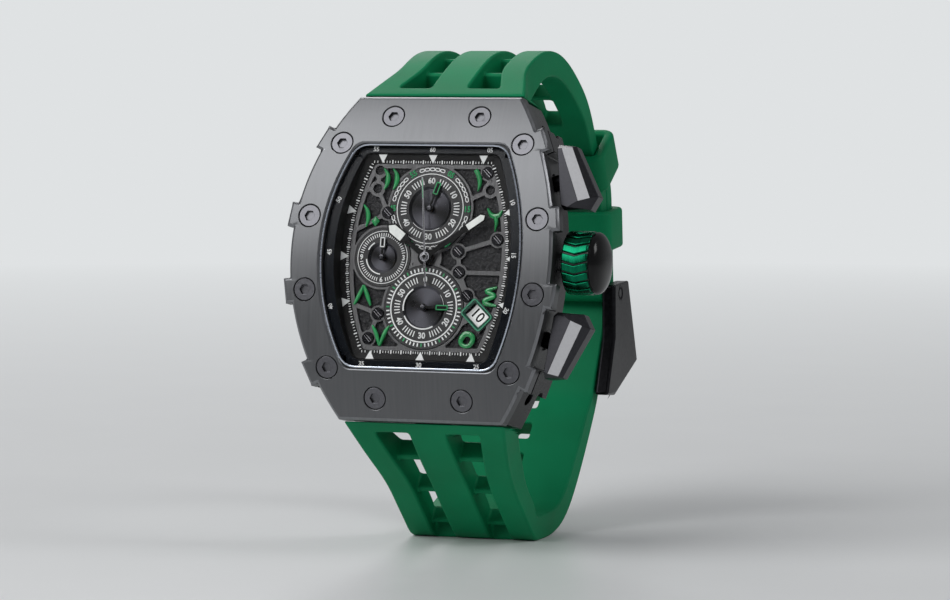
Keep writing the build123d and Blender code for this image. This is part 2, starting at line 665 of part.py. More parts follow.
with BuildPart() as crystal_gasket:
    with BuildSketch(DIAL.offset(-CASE_REACH)):
        add(OPENING)
        add(CRYSTAL_OUTLINE, mode=Mode.SUBTRACT)
    extrude(amount=CASE_REACH + OVERRUN)
    between(CRYSTAL_FRONT - OPENING_CHAMFER, CRYSTAL_REAR)
write(crystal_gasket, "crystal_gasket")

with BuildPart() as flange:
    stand(inset(OPENING, SEAT_GAP), CRYSTAL_SINK, DIAL_DEPTH)
    between(CRYSTAL_REAR - SEAT_GAP, MIDDLE_BACK)
    with BuildSketch(DIAL.offset(-DIAL_DEPTH)):
        add(DIAL_WINDOW)
    with BuildSketch(DIAL.offset(-CRYSTAL_SINK)):
        add(
            tonneau(
                FLANGE_HALF_WIDTH + FLANGE_SPREAD,
                FLANGE_HALF_HEIGHT + FLANGE_SPREAD,
                FLANGE_END_HALF_WIDTH + FLANGE_SPREAD,
                FLANGE_CORNER,
            )
        )
    loft(ruled=True, mode=Mode.SUBTRACT)
write(flange, "flange")

# Dial: an openworked plate over a plain base, with seats for the counters and date frame
DIAL_BACK = DIAL_DEPTH + DIAL_PLATE_THICKNESS
BASE_BACK = DIAL_BACK + DIAL_BASE_THICKNESS


def rotated_frame(margin):
    """Rectangle about the date window, larger than it by a margin."""
    with BuildSketch() as frame:
        with Locations(Location((*DATE_SPOT, 0), (0, 0, DATE_TURN))):
            Rectangle(DATE_WIDTH + 2 * margin, DATE_HEIGHT + 2 * margin)
    return frame.sketch


def numeral_sketch():
    """All applied numerals as flat strokes."""
    with BuildSketch() as numerals:
        for (x, y), stroke in NUMERALS:
            points = [(x + u * NUMERAL_HEIGHT, y + v * NUMERAL_HEIGHT) for u, v in stroke]
            with BuildLine() as line:
                Polyline(*points)
            trace(line.line, line_width=NUMERAL_STROKE)
        with Locations(FIVE_SPOT):
            Circle(FIVE_RADIUS)
            Circle(FIVE_BORE, mode=Mode.SUBTRACT)
        with Locations(Location((*POINT_SPOT, 0), (0, 0, 45))):
            Rectangle(POINT_SIDE, POINT_SIDE)
    return numerals.sketch


def numeral_feet(radius):
    """One foot under each numeral."""
    spots = [(x + s[1][0] * NUMERAL_HEIGHT, y + s[1][1] * NUMERAL_HEIGHT) for (x, y), s in NUMERALS]
    five_side = (FIVE_SPOT[0] + (FIVE_RADIUS + FIVE_BORE) / 2, FIVE_SPOT[1])
    with BuildSketch() as feet:
        with Locations(*spots, five_side, POINT_SPOT):
            Circle(radius)
    return feet.sketch


def skeleton_sketch():
    """Rim, counter seats, bosses and struts of the dial plate."""
    with BuildSketch() as plate:
        add(DIAL_OUTLINE)
        add(inset(DIAL_WINDOW, DIAL_RIM), mode=Mode.SUBTRACT)
        for name, spot in COUNTER_SPOTS.items():
            with Locations(spot):
                Circle(COUNTER_RADII[name] + COUNTER_SEAT)
        Circle(HOUR_HAND_WIDTH + COUNTER_SEAT)
        with Locations(*DIAL_SCREW_SPOTS, *DIAL_POST_SPOTS):
            Circle(BOSS_RADIUS)
        for (x1, y1), (x2, y2) in STRUTS:
            with BuildLine() as line:
                Line((x1, y1), (x2, y2))
            trace(line.line, line_width=STRUT_WIDTH)
        add(rotated_frame(DATE_SEAT))
        for name, spot in COUNTER_SPOTS.items():
            with Locations(spot):
                Circle(COUNTER_RADII[name] + SEAT_GAP, mode=Mode.SUBTRACT)
        Circle(CENTRE_HOLE_RADIUS, mode=Mode.SUBTRACT)
        with Locations(*DIAL_SCREW_SPOTS):
            Circle(DIAL_SCREW_SHANK + SEAT_GAP, mode=Mode.SUBTRACT)
        with Locations(*DIAL_POST_SPOTS):
            Circle(POST_HOLE_RADIUS, mode=Mode.SUBTRACT)
        add(rotated_frame(0), mode=Mode.SUBTRACT)
        add(numeral_feet(NUMERAL_FOOT_RADIUS + SEAT_GAP), mode=Mode.SUBTRACT)
    return plate.sketch


with BuildPart() as dial_plate:
    stand(skeleton_sketch(), DIAL_DEPTH, DIAL_BACK)
write(dial_plate, "dial_plate")

with BuildPart() as dial_base:
    stand(DIAL_OUTLINE, DIAL_BACK, BASE_BACK)
    hole((0, 0), CENTRE_HOLE_RADIUS, DIAL_BACK, BASE_BACK)
    for spot in COUNTER_SPOTS.values():
        hole(spot, COUNTER_HOLE_RADIUS, DIAL_BACK, BASE_BACK)
    for spot in DIAL_SCREW_SPOTS:
        hole(spot, DIAL_SCREW_SHANK, DIAL_BACK, BASE_BACK)
    stand(rotated_frame(0), DIAL_BACK - OVERRUN, BASE_BACK + OVERRUN, mode=Mode.SUBTRACT)
write(dial_base, "dial_base")

# Counters: dished discs seated on the base, the left one over the edges of the other two
for name, (x, y) in COUNTER_SPOTS.items():
    radius = COUNTER_RADII[name]
    dish = radius * COUNTER_DISH_SHARE
    front = DIAL_DEPTH - COUNTER_PROUD
    with BuildPart() as counter:
        lathe((x, y), [(front, DIAL_BACK, radius, COUNTER_HOLE_RADIUS)])
        lathe_front = DIAL.offset(-front)
        with BuildSketch(lathe_front):
            with Locations((x, y)):
                Circle(dish)
        extrude(amount=-COUNTER_DISH_DEPTH, taper=60.0, mode=Mode.SUBTRACT)
        with BuildSketch() as clear:
            with Locations(*DIAL_SCREW_SPOTS):
                Circle(DIAL_SCREW_RADIUS + SEAT_GAP)
            add(rotated_frame(DATE_FRAME + SEAT_GAP))
        stand(clear.sketch, front - OVERRUN, DIAL_DEPTH, mode=Mode.SUBTRACT)
        for spot in DIAL_SCREW_SPOTS:
            hole(spot, DIAL_SCREW_SHANK + SEAT_GAP, front, DIAL_BACK)
        if name != "left":
            hole(COUNTER_SPOTS["left"], COUNTER_RADII["left"] + SEAT_GAP, front, DIAL_BACK)
            hole((0, 0), CENTRE_HOLE_RADIUS, front, DIAL_BACK)
    write(counter, f"counter_{name}")

# Dial screws: slotted heads on the plate, shanks in the base
with BuildPart() as dial_screws:
    for x, y in DIAL_SCREW_SPOTS:
        with BuildSketch(DIAL.offset(-DIAL_DEPTH)):
            with Locations((x, y)):
                Circle(DIAL_SCREW_RADIUS)
        extrude(amount=DIAL_SCREW_HEAD)
        with BuildSketch(DIAL.offset(-DIAL_DEPTH)):
            with Locations((x, y)):
                Circle(DIAL_SCREW_SHANK)
        extrude(amount=-DIAL_PLATE_THICKNESS - DIAL_BASE_THICKNESS)
        with BuildSketch(DIAL.offset(DIAL_SCREW_HEAD - DIAL_DEPTH)):
            with Locations(Location((x, y, 0), (0, 0, -45))):
                Rectangle(2 * DIAL_SCREW_RADIUS, DIAL_SCREW_SLOT)
        extrude(amount=-DIAL_SCREW_HEAD / 2, mode=Mode.SUBTRACT)
write(dial_screws, "dial_screws")

with BuildPart() as hour_numerals:
    stand(numeral_sketch(), DIAL_DEPTH - NUMERAL_PROUD, DIAL_DEPTH)
    stand(numeral_feet(NUMERAL_FOOT_RADIUS), DIAL_DEPTH - NUMERAL_PROUD / 2, DIAL_BACK)
write(hour_numerals, "hour_numerals")

with BuildPart() as date_frame:
    stand(rotated_frame(DATE_FRAME), DIAL_DEPTH - DATE_FRAME_PROUD, DIAL_DEPTH)
    stand(rotated_frame(0), DIAL_DEPTH - OVERRUN, DIAL_DEPTH + OVERRUN, mode=Mode.SUBTRACT)
write(date_frame, "date_frame")


def hand(front, turn, spot, hub_radius, bore, outline):
    """Flat hand with a hub, turned clockwise from 12 about its own axle."""
    with BuildSketch() as flat:
        with Locations(Location((*spot, 0), (0, 0, -turn))):
            Polygon(*outline, align=None)
            Circle(hub_radius)
            Circle(bore, mode=Mode.SUBTRACT)
    stand(flat.sketch, front, front + HAND_THICKNESS)


def baton(length, width, lume_start, stem_width, start=0.0):
    """Half-skeleton baton: narrow stem, wide lume block and a pointed tip."""
    half, stem = width / 2, stem_width / 2
    return (
        (-stem, start), (-stem, lume_start - half), (-half, lume_start), (-half, length - half),
        (0, length), (half, length - half), (half, lume_start), (stem, lume_start - half), (stem, start),
    )


HANDS = {
    "hour_hand": (
        HOUR_HAND_DEPTH, HOUR_TURN, (0, 0), HOUR_HUB_RADIUS, HOUR_PIPE_RADIUS,
        baton(HOUR_HAND_LENGTH, HOUR_HAND_WIDTH, HOUR_LUME_START, HAND_STEM_WIDTH),
    ),
    "minute_hand": (
        MINUTE_HAND_DEPTH, MINUTE_TURN, (0, 0), MINUTE_HUB_RADIUS, CANNON_PIPE_RADIUS,
        baton(MINUTE_HAND_LENGTH, MINUTE_HAND_WIDTH, MINUTE_LUME_START, HAND_STEM_WIDTH),
    ),
    "chrono_hand": (
        CHRONO_HAND_DEPTH, CHRONO_TURN, (0, 0), CHRONO_HUB_RADIUS, CHRONO_ARBOR_RADIUS,
        baton(
            CHRONO_HAND_LENGTH, CHRONO_HAND_WIDTH, CHRONO_TAIL_LENGTH, CHRONO_HAND_WIDTH,
            -CHRONO_TAIL_LENGTH,
        ),
    ),
}
for name, spot in COUNTER_SPOTS.items():
    length = COUNTER_HAND_LENGTHS[name]
    HANDS[f"counter_hand_{name}"] = (
        COUNTER_HAND_DEPTH, COUNTER_HAND_TURNS[name], spot, COUNTER_HUB_RADIUS, ARBOR_RADIUS,
        baton(length, COUNTER_HAND_WIDTH, length / 2, COUNTER_HAND_WIDTH / 2),
    )
for name, sizes in HANDS.items():
    with BuildPart() as pointer:
        hand(*sizes)
    write(pointer, name)

# Movement holder: fills the case between the dial and the back, round the movement
with BuildPart() as movement_holder:
    stand(DIAL_OUTLINE, BASE_BACK, MOVEMENT_BACK)
    hole((0, 0), HOLDER_RADIUS, BASE_BACK, MOVEMENT_BACK)
    with BuildSketch(CROWN_LINE):
        Circle(STEM_RADIUS + 2 * SEAT_GAP)
    extrude(amount=BEZEL_HALF_WIDTH, mode=Mode.SUBTRACT)
    for sign in (1, -1):
        with BuildSketch(along_pusher(sign, 0)):
            Circle(PUSHER_STEM_RADIUS + 2 * SEAT_GAP)
        extrude(amount=BEZEL_HALF_WIDTH, mode=Mode.SUBTRACT)
write(movement_holder, "movement_holder")

# Main plate: disc with the date disc's land in front and pillars behind
PLATE_BACK = MAIN_PLATE_DEPTH + MAIN_PLATE_THICKNESS
DATE_DISC_BACK = DATE_DISC_DEPTH + DATE_DISC_THICKNESS
MINUTE_WHEEL_SPOT = (MOTION_AXLE_DISTANCE, 0)
bottom_x, bottom_y = COUNTER_SPOTS["bottom"]
REDUCTION_SPOT = (bottom_x + REDUCTION_AXLE_DISTANCE, bottom_y)
ROTOR_SPOT = (REDUCTION_SPOT[0] + ROTOR_AXLE_DISTANCE, bottom_y)

with BuildPart() as main_plate:
    lathe((0, 0), [(MAIN_PLATE_DEPTH, PLATE_BACK, MOVEMENT_RADIUS, 0)])
    lathe((0, 0), [(DATE_DISC_BACK + SEAT_GAP, MAIN_PLATE_DEPTH, DATE_LAND_RADIUS, DATE_LAND_BORE)])
    for spot in PILLAR_SPOTS:
        lathe(spot, [(PLATE_BACK, BRIDGE_DEPTH, PILLAR_RADIUS, 0)])
        hole(spot, MOVEMENT_SCREW_RADIUS, PLATE_BACK + OVERRUN, BRIDGE_DEPTH)
    lathe(MINUTE_WHEEL_SPOT, [(HOUR_WHEEL_DEPTH, MAIN_PLATE_DEPTH, MINUTE_POST_RADIUS, 0)])
    hole((0, 0), CHRONO_ARBOR_RADIUS + WHEEL_BORE_GAP, MAIN_PLATE_DEPTH, PLATE_BACK)
    for spot in COUNTER_SPOTS.values():
        hole(spot, ARBOR_RADIUS + WHEEL_BORE_GAP, MAIN_PLATE_DEPTH, PLATE_BACK)
    with BuildSketch(CROWN_LINE.offset(STEM_START - OVERRUN)):
        with Locations((-STEM_RADIUS, 0)):
            Rectangle(4 * STEM_RADIUS, 2 * STEM_RADIUS + 4 * SEAT_GAP)
    extrude(amount=BEZEL_HALF_WIDTH, mode=Mode.SUBTRACT)
write(main_plate, "main_plate")

# Bridge over the wheels, cut away round the battery
with BuildPart() as train_bridge:
    bridge_back = BRIDGE_DEPTH + BRIDGE_THICKNESS
    lathe((0, 0), [(BRIDGE_DEPTH, bridge_back, MOVEMENT_RADIUS - OVERRUN, 0)])
    hole(BATTERY_SPOT, BATTERY_RADIUS + 2 * BATTERY_RIM, BRIDGE_DEPTH, bridge_back)
    hole((0, 0), CHRONO_ARBOR_RADIUS + WHEEL_BORE_GAP, BRIDGE_DEPTH, bridge_back)
    for spot in COUNTER_SPOTS.values():
        hole(spot, ARBOR_RADIUS + WHEEL_BORE_GAP, BRIDGE_DEPTH, bridge_back)
    for spot in (REDUCTION_SPOT, ROTOR_SPOT):
        hole(spot, CHRONO_ARBOR_RADIUS + WHEEL_BORE_GAP, BRIDGE_DEPTH, bridge_back)
    for spot in PILLAR_SPOTS:
        hole(spot, MOVEMENT_SCREW_RADIUS + SEAT_GAP, BRIDGE_DEPTH, bridge_back)
write(train_bridge, "train_bridge")

with BuildPart() as movement_screws:
    for spot in PILLAR_SPOTS:
        lathe(
            spot,
            [
                (bridge_back, bridge_back + MOVEMENT_SCREW_HEAD_HEIGHT, MOVEMENT_SCREW_HEAD, 0),
                (PLATE_BACK + OVERRUN, bridge_back, MOVEMENT_SCREW_RADIUS, 0),
            ],
        )
write(movement_screws, "movement_screws")

# Power and motor
with BuildPart() as battery:
    battery_front = BOARD_DEPTH + BOARD_THICKNESS
    battery_back = battery_front + BATTERY_HEIGHT - BATTERY_RIM
    lathe(
        BATTERY_SPOT,
        [
            (battery_front, battery_back, BATTERY_RADIUS, 0),
            (battery_front - BATTERY_RIM / 2, battery_front, BATTERY_RADIUS - BATTERY_RIM, 0),
        ],
    )
write(battery, "battery")

with BuildPart() as circuit_board:
    lathe((0, 0), [(BOARD_DEPTH, BOARD_DEPTH + BOARD_THICKNESS, MOVEMENT_RADIUS - OVERRUN, 0)])
    board_back = BOARD_DEPTH + BOARD_THICKNESS
    with BuildSketch() as right_side:
        with Locations((-PILLAR_RADIUS, 0)):
            Rectangle(
                2 * MOVEMENT_RADIUS, 2 * MOVEMENT_RADIUS, align=(Align.MIN, Align.CENTER)
            )
    stand(right_side.sketch, BOARD_DEPTH - OVERRUN, board_back + OVERRUN, mode=Mode.SUBTRACT)
    hole(BATTERY_SPOT, BATTERY_RADIUS - BATTERY_RIM + SEAT_GAP, BOARD_DEPTH, board_back)
    for spot in PILLAR_SPOTS:
        hole(spot, PILLAR_RADIUS + SEAT_GAP, BOARD_DEPTH, board_back)
    hole(COUNTER_SPOTS["left"], 2 * ARBOR_RADIUS, BOARD_DEPTH, board_back)
write(circuit_board, "circuit_board")

COIL_MIDDLE_DEPTH = BOARD_DEPTH + COIL_RADIUS + COIL_FLANGE / 2
COIL_LINE = Plane(
    origin=DIAL.from_local_coords(Vector(COIL_SPOT[0], COIL_SPOT[1] - COIL_LENGTH / 2, -COIL_MIDDLE_DEPTH)),
    x_dir=(1, 0, 0),
    z_dir=DIAL.y_dir,
)
with BuildPart() as coil:
    with BuildSketch(COIL_LINE):
        Circle(COIL_RADIUS)
        Circle(COIL_CORE_RADIUS, mode=Mode.SUBTRACT)
    extrude(amount=COIL_LENGTH)
    for start in (0, COIL_LENGTH - COIL_FLANGE):
        with BuildSketch(COIL_LINE.offset(start)):
            Rectangle(2 * COIL_RADIUS + COIL_FLANGE, 2 * COIL_RADIUS)
            Circle(COIL_CORE_RADIUS, mode=Mode.SUBTRACT)
        extrude(amount=COIL_FLANGE)
write(coil, "coil")

# Stator: core through the coil, with soft-iron plates that reach round the rotor
with BuildPart() as stator:
    with BuildSketch(COIL_LINE.offset(-COIL_FLANGE)):
        Circle(COIL_CORE_RADIUS)
    extrude(amount=COIL_LENGTH + 2 * COIL_FLANGE)
    plate_front = SECONDS_WHEEL_DEPTH - ROTOR_HEIGHT / 2
    coil_foot = (COIL_SPOT[0], COIL_SPOT[1] - COIL_LENGTH / 2 - COIL_FLANGE)
    coil_head = (COIL_SPOT[0], COIL_SPOT[1] + COIL_LENGTH / 2 + COIL_FLANGE)
    with BuildSketch() as pole:
        with BuildLine() as reach:
            Polyline(coil_foot, ROTOR_SPOT)
        trace(reach.line, line_width=COIL_RADIUS)
        with Locations(ROTOR_SPOT):
            Circle(STATOR_WIDTH / 2)
            Circle(ROTOR_RADIUS + 4 * SEAT_GAP, mode=Mode.SUBTRACT)
        with Locations(coil_foot, coil_head):
            Rectangle(2 * COIL_CORE_RADIUS + COIL_FLANGE, COIL_FLANGE)
    stand(pole.sketch, COIL_MIDDLE_DEPTH - STATOR_THICKNESS / 2, COIL_MIDDLE_DEPTH + STATOR_THICKNESS / 2)
write(stator, "stator")

ROTOR_FRONT = PLATE_BACK + 2 * SEAT_GAP
REDUCTION_RADIUS = (
    ROTOR_AXLE_DISTANCE * REDUCTION_WHEEL_TEETH / (REDUCTION_WHEEL_TEETH + ROTOR_PINION_TEETH)
)
ROTOR_PINION_RADIUS = ROTOR_AXLE_DISTANCE - REDUCTION_RADIUS
SECONDS_RADIUS = (
    REDUCTION_AXLE_DISTANCE * SECONDS_WHEEL_TEETH / (SECONDS_WHEEL_TEETH + REDUCTION_PINION_TEETH)
)
REDUCTION_PINION_RADIUS = REDUCTION_AXLE_DISTANCE - SECONDS_RADIUS
WHEEL_OVERLAP = WHEEL_THICKNESS / 2


def toothed(spot, pitch_radius, teeth, phase, front, back):
    """Toothed layer of a wheel about its own axle."""
    with BuildSketch() as placed:
        with Locations(spot):
            add(wheel(pitch_radius, teeth, phase))
    stand(placed.sketch, front, back)


with BuildPart() as rotor:
    lathe(
        ROTOR_SPOT,
        [
            (ROTOR_FRONT, bridge_back, CHRONO_ARBOR_RADIUS, 0),
            (COIL_MIDDLE_DEPTH - ROTOR_HEIGHT / 2, COIL_MIDDLE_DEPTH + ROTOR_HEIGHT / 2, ROTOR_RADIUS, 0),
        ],
    )
    pinion_front = REDUCTION_WHEEL_DEPTH - WHEEL_OVERLAP
    toothed(
        ROTOR_SPOT, ROTOR_PINION_RADIUS, ROTOR_PINION_TEETH, 180,
        pinion_front, pinion_front + 2 * WHEEL_THICKNESS,
    )
write(rotor, "rotor")

with BuildPart() as reduction_wheel:
    lathe(REDUCTION_SPOT, [(ROTOR_FRONT, bridge_back, CHRONO_ARBOR_RADIUS, 0)])
    toothed(
        REDUCTION_SPOT, REDUCTION_RADIUS, REDUCTION_WHEEL_TEETH, 180 / REDUCTION_WHEEL_TEETH,
        REDUCTION_WHEEL_DEPTH, REDUCTION_WHEEL_DEPTH + WHEEL_THICKNESS,
    )
    pinion_front = SECONDS_WHEEL_DEPTH - WHEEL_OVERLAP
    toothed(
        REDUCTION_SPOT, REDUCTION_PINION_RADIUS, REDUCTION_PINION_TEETH, 180,
        pinion_front, pinion_front + 2 * WHEEL_THICKNESS,
    )
write(reduction_wheel, "reduction_wheel")


def arbor_wheel(spot, arbor_radius, front, pitch_radius, teeth, phase, wheel_front):
    """Wheel on an arbor that carries a hand in front of the dial."""
    lathe(spot, [(front, bridge_back, arbor_radius, 0)])
    toothed(spot, pitch_radius, teeth, phase, wheel_front, wheel_front + WHEEL_THICKNESS)


HAND_WHEELS = {
    "seconds_wheel": (
        COUNTER_SPOTS["bottom"], ARBOR_RADIUS, COUNTER_HAND_DEPTH,
        SECONDS_RADIUS, SECONDS_WHEEL_TEETH, 180 / SECONDS_WHEEL_TEETH, SECONDS_WHEEL_DEPTH,
    ),
    "minute_counter_wheel": (
        COUNTER_SPOTS["top"], ARBOR_RADIUS, COUNTER_HAND_DEPTH,
        COUNTER_WHEEL_RADIUS, COUNTER_WHEEL_TEETH, 0, SECONDS_WHEEL_DEPTH,
    ),
    "hour_counter_wheel": (
        COUNTER_SPOTS["left"], ARBOR_RADIUS, COUNTER_HAND_DEPTH,
        COUNTER_WHEEL_RADIUS, COUNTER_WHEEL_TEETH, 0, SECONDS_WHEEL_DEPTH,
    ),
    "chrono_wheel": (
        (0, 0), CHRONO_ARBOR_RADIUS, CHRONO_HAND_DEPTH,
        COUNTER_WHEEL_RADIUS, COUNTER_WHEEL_TEETH, 0, SECONDS_WHEEL_DEPTH,
    ),
}
for name, sizes in HAND_WHEELS.items():
    with BuildPart() as hand_wheel:
        arbor_wheel(*sizes)
    write(hand_wheel, name)

# Motion work behind the dial: cannon pinion, minute wheel with its pinion, hour wheel
CANNON_RADIUS = MOTION_AXLE_DISTANCE * CANNON_TEETH / (CANNON_TEETH + MINUTE_WHEEL_TEETH)
MINUTE_WHEEL_RADIUS = MOTION_AXLE_DISTANCE - CANNON_RADIUS
MINUTE_PINION_RADIUS = (
    MOTION_AXLE_DISTANCE * MINUTE_PINION_TEETH / (MINUTE_PINION_TEETH + HOUR_WHEEL_TEETH)
)
HOUR_WHEEL_RADIUS = MOTION_AXLE_DISTANCE - MINUTE_PINION_RADIUS

with BuildPart() as cannon_pinion:
    lathe((0, 0), [(MINUTE_HAND_DEPTH, CANNON_DEPTH, CANNON_PIPE_RADIUS, 0)])
    toothed((0, 0), CANNON_RADIUS, CANNON_TEETH, 0, CANNON_DEPTH, MAIN_PLATE_DEPTH - SEAT_GAP)
    hole((0, 0), CHRONO_ARBOR_RADIUS + WHEEL_BORE_GAP, MINUTE_HAND_DEPTH, MAIN_PLATE_DEPTH)
write(cannon_pinion, "cannon_pinion")

with BuildPart() as minute_wheel:
    toothed(
        MINUTE_WHEEL_SPOT, MINUTE_WHEEL_RADIUS, MINUTE_WHEEL_TEETH, 180 + 180 / MINUTE_WHEEL_TEETH,
        CANNON_DEPTH + WHEEL_BORE_GAP, CANNON_DEPTH + WHEEL_BORE_GAP + WHEEL_THICKNESS,
    )
    toothed(
        MINUTE_WHEEL_SPOT, MINUTE_PINION_RADIUS, MINUTE_PINION_TEETH, 180,
        HOUR_WHEEL_DEPTH, CANNON_DEPTH + WHEEL_BORE_GAP,
    )
    hole(MINUTE_WHEEL_SPOT, MINUTE_POST_RADIUS + WHEEL_BORE_GAP, HOUR_WHEEL_DEPTH, MAIN_PLATE_DEPTH)
write(minute_wheel, "minute_wheel")

with BuildPart() as hour_wheel:
    toothed(
        (0, 0), HOUR_WHEEL_RADIUS, HOUR_WHEEL_TEETH, 180 / HOUR_WHEEL_TEETH,
        HOUR_WHEEL_DEPTH, HOUR_WHEEL_DEPTH + WHEEL_THICKNESS,
    )
    lathe((0, 0), [(HOUR_HAND_DEPTH, HOUR_WHEEL_DEPTH + WHEEL_THICKNESS, HOUR_PIPE_RADIUS, 0)])
    hole((0, 0), CANNON_PIPE_RADIUS + WHEEL_BORE_GAP, HOUR_HAND_DEPTH, HOUR_WHEEL_DEPTH + WHEEL_THICKNESS)
write(hour_wheel, "hour_wheel")

with BuildPart() as date_disc:
    lathe((0, 0), [(DATE_DISC_DEPTH, DATE_DISC_BACK, DATE_DISC_RADIUS, DATE_DISC_BORE)])
write(date_disc, "date_disc")

# Crown, its knurled ring, gasket, tube and stem
DOME_START = CROWN_START + CROWN_RING_LENGTH
with BuildPart() as crown:
    with BuildSketch(CROWN_LINE.offset(CROWN_START)):
        Circle(CROWN_RADIUS - CROWN_RING_THICKNESS)
    extrude(amount=CROWN_RING_LENGTH)
    with BuildSketch(CROWN_LINE.offset(DOME_START)):
        Circle(CROWN_RADIUS - CROWN_NOTCH / 2)
    extrude(amount=CROWN_DOME_LENGTH)
    dome_face = crown.faces().sort_by(Axis.X)[-1]
    chamfer(dome_face.edges(), CROWN_RING_THICKNESS)
    with BuildSketch(CROWN_LINE.offset(CROWN_START)):
        Circle(CROWN_BORE_RADIUS)
    extrude(amount=CROWN_BORE_LENGTH, mode=Mode.SUBTRACT)
    with BuildSketch(CROWN_LINE.offset(CROWN_START)):
        Circle(STEM_RADIUS)
    extrude(amount=STEM_END - CROWN_START, mode=Mode.SUBTRACT)
write(crown, "crown")

with BuildPart() as crown_ring:
    with BuildSketch(CROWN_LINE.offset(CROWN_START)):
        Circle(CROWN_RADIUS)
        Circle(CROWN_RADIUS - CROWN_RING_THICKNESS, mode=Mode.SUBTRACT)
        with PolarLocations(CROWN_RADIUS, CROWN_NOTCHES):
            Rectangle(CROWN_NOTCH, CROWN_NOTCH, rotation=45, mode=Mode.SUBTRACT)
    extrude(amount=CROWN_RING_LENGTH)
write(crown_ring, "crown_ring")

with BuildPart() as crown_gasket:
    with BuildSketch(CROWN_LINE.offset(CROWN_START + CROWN_GASKET_START)):
        Circle(CROWN_BORE_RADIUS - RUNNING_GAP)
        Circle(CROWN_TUBE_RADIUS + RUNNING_GAP, mode=Mode.SUBTRACT)
    extrude(amount=CROWN_GASKET_LENGTH)
write(crown_gasket, "crown_gasket")

with BuildPart() as crown_tube:
    with BuildSketch(CROWN_LINE.offset(OPENING_HALF_WIDTH + SEAT_GAP)):
        Circle(CROWN_TUBE_RADIUS)
        Circle(STEM_RADIUS + RUNNING_GAP, mode=Mode.SUBTRACT)
    extrude(amount=CROWN_TUBE_END - OPENING_HALF_WIDTH - SEAT_GAP)
write(crown_tube, "crown_tube")

with BuildPart() as winding_stem:
    with BuildSketch(CROWN_LINE.offset(STEM_START)):
        Circle(STEM_RADIUS)
    extrude(amount=STEM_END - STEM_START)
write(winding_stem, "winding_stem")

# Pushers: faceted caps on stems, with return springs in tubes
TUBE_BORE = PUSHER_SPRING_RADIUS + RUNNING_GAP
POCKET_END = PUSHER_BASE + PUSHER_HEIGHT / 4


def pusher(sign):
    """Cap and stem of one pusher."""
    points = [
        (PUSHER_BASE + u * PUSHER_HEIGHT, sign * v * PUSHER_LENGTH) for u, v in PUSHER_OUTLINE_SHARES
    ]
    with BuildPart() as cap:
        with BuildSketch(pusher_plane(sign)):
            Polygon(*points, align=None)
        extrude(amount=PUSHER_THICKNESS / 2, both=True)
        thickness_axis = Axis(DIAL.origin, DIAL.z_dir)
        outer_faces = cap.faces().sort_by(Axis(pusher_plane(sign).origin, pusher_plane(sign).x_dir))
        chamfer(outer_faces[-1].edges().filter_by(thickness_axis, reverse=True), PUSHER_FACET)
        with BuildSketch(along_pusher(sign, PUSHER_TUBE_START)):
            Circle(PUSHER_POCKET_RADIUS)
        extrude(amount=POCKET_END - PUSHER_TUBE_START, mode=Mode.SUBTRACT)
        with BuildSketch(along_pusher(sign, PUSHER_STEM_START)):
            Circle(PUSHER_STEM_RADIUS)
        extrude(amount=PUSHER_BASE + PUSHER_HEIGHT / 2 - PUSHER_STEM_START)
    return cap


def pusher_spring(sign):
    """Space of one return spring at its pressed length, from the step in its tube outwards."""
    with BuildPart() as spring:
        with BuildSketch(along_pusher(sign, PUSHER_TUBE_STEP)):
            Circle(PUSHER_SPRING_RADIUS)
            Circle(PUSHER_SPRING_RADIUS - PUSHER_SPRING_WALL, mode=Mode.SUBTRACT)
        extrude(amount=POCKET_END - PUSHER_TRAVEL - SEAT_GAP - PUSHER_TUBE_STEP)
    return spring


for name, sign in (("upper", 1), ("lower", -1)):
    write(pusher(sign), f"pusher_{name}")
    write(pusher_spring(sign), f"pusher_spring_{name}")

with BuildPart() as pusher_tubes:
    for sign in (1, -1):
        with BuildSketch(along_pusher(sign, PUSHER_TUBE_START)):
            Circle(PUSHER_TUBE_RADIUS)
            Circle(PUSHER_STEM_RADIUS + RUNNING_GAP, mode=Mode.SUBTRACT)
        extrude(amount=PUSHER_TUBE_END - PUSHER_TUBE_START)
        with BuildSketch(along_pusher(sign, PUSHER_TUBE_STEP)):
            Circle(TUBE_BORE)
        extrude(amount=PUSHER_TUBE_END - PUSHER_TUBE_STEP, mode=Mode.SUBTRACT)
write(pusher_tubes, "pusher_tubes")

# Strap lines in the side plane
RUN_TOP, RUN_CORNER, RUN_END = (side_share(*shares) for shares in KEEPER_RUN_SHARES)


def run_between(start, end):
    """Unit direction from one side-plane point to another."""
    return (end - start).normalized()


def left_of(direction):
    """Unit normal to the left of a side-plane direction."""
    return Vector(-direction.Y, direction.X)


def turned_run(angle):
    """Unit direction that points down the strap, turned outwards by an angle."""
    return Vector(sin(radians(angle)), -cos(radians(angle)))


def drawn_in(points, thicknesses, side):
    """Points moved square off their path: side is 1 for its left and -1 for its right."""
    moved = []
    for index, point in enumerate(points):
        before = points[max(index - 1, 0)]
        after = points[min(index + 1, len(points) - 1)]
        moved.append(point + left_of(run_between(before, after)) * side * thicknesses[index])
    return moved


def mitred(before, corner, after, distance):
    """Corner of a path drawn to its left by a distance."""
    first = left_of(run_between(before, corner))
    second = left_of(run_between(corner, after))
    return corner + (first + second) * (distance / (1 + first.dot(second)))


UPPER_RUN = run_between(RUN_TOP, RUN_CORNER)
LOWER_RUN = run_between(RUN_CORNER, RUN_END)
UPPER_OUT = left_of(UPPER_RUN)
LOWER_OUT = left_of(LOWER_RUN)
BAR_CENTRE = RUN_END - LOWER_OUT * (SHORT_END_THICKNESS / 2)

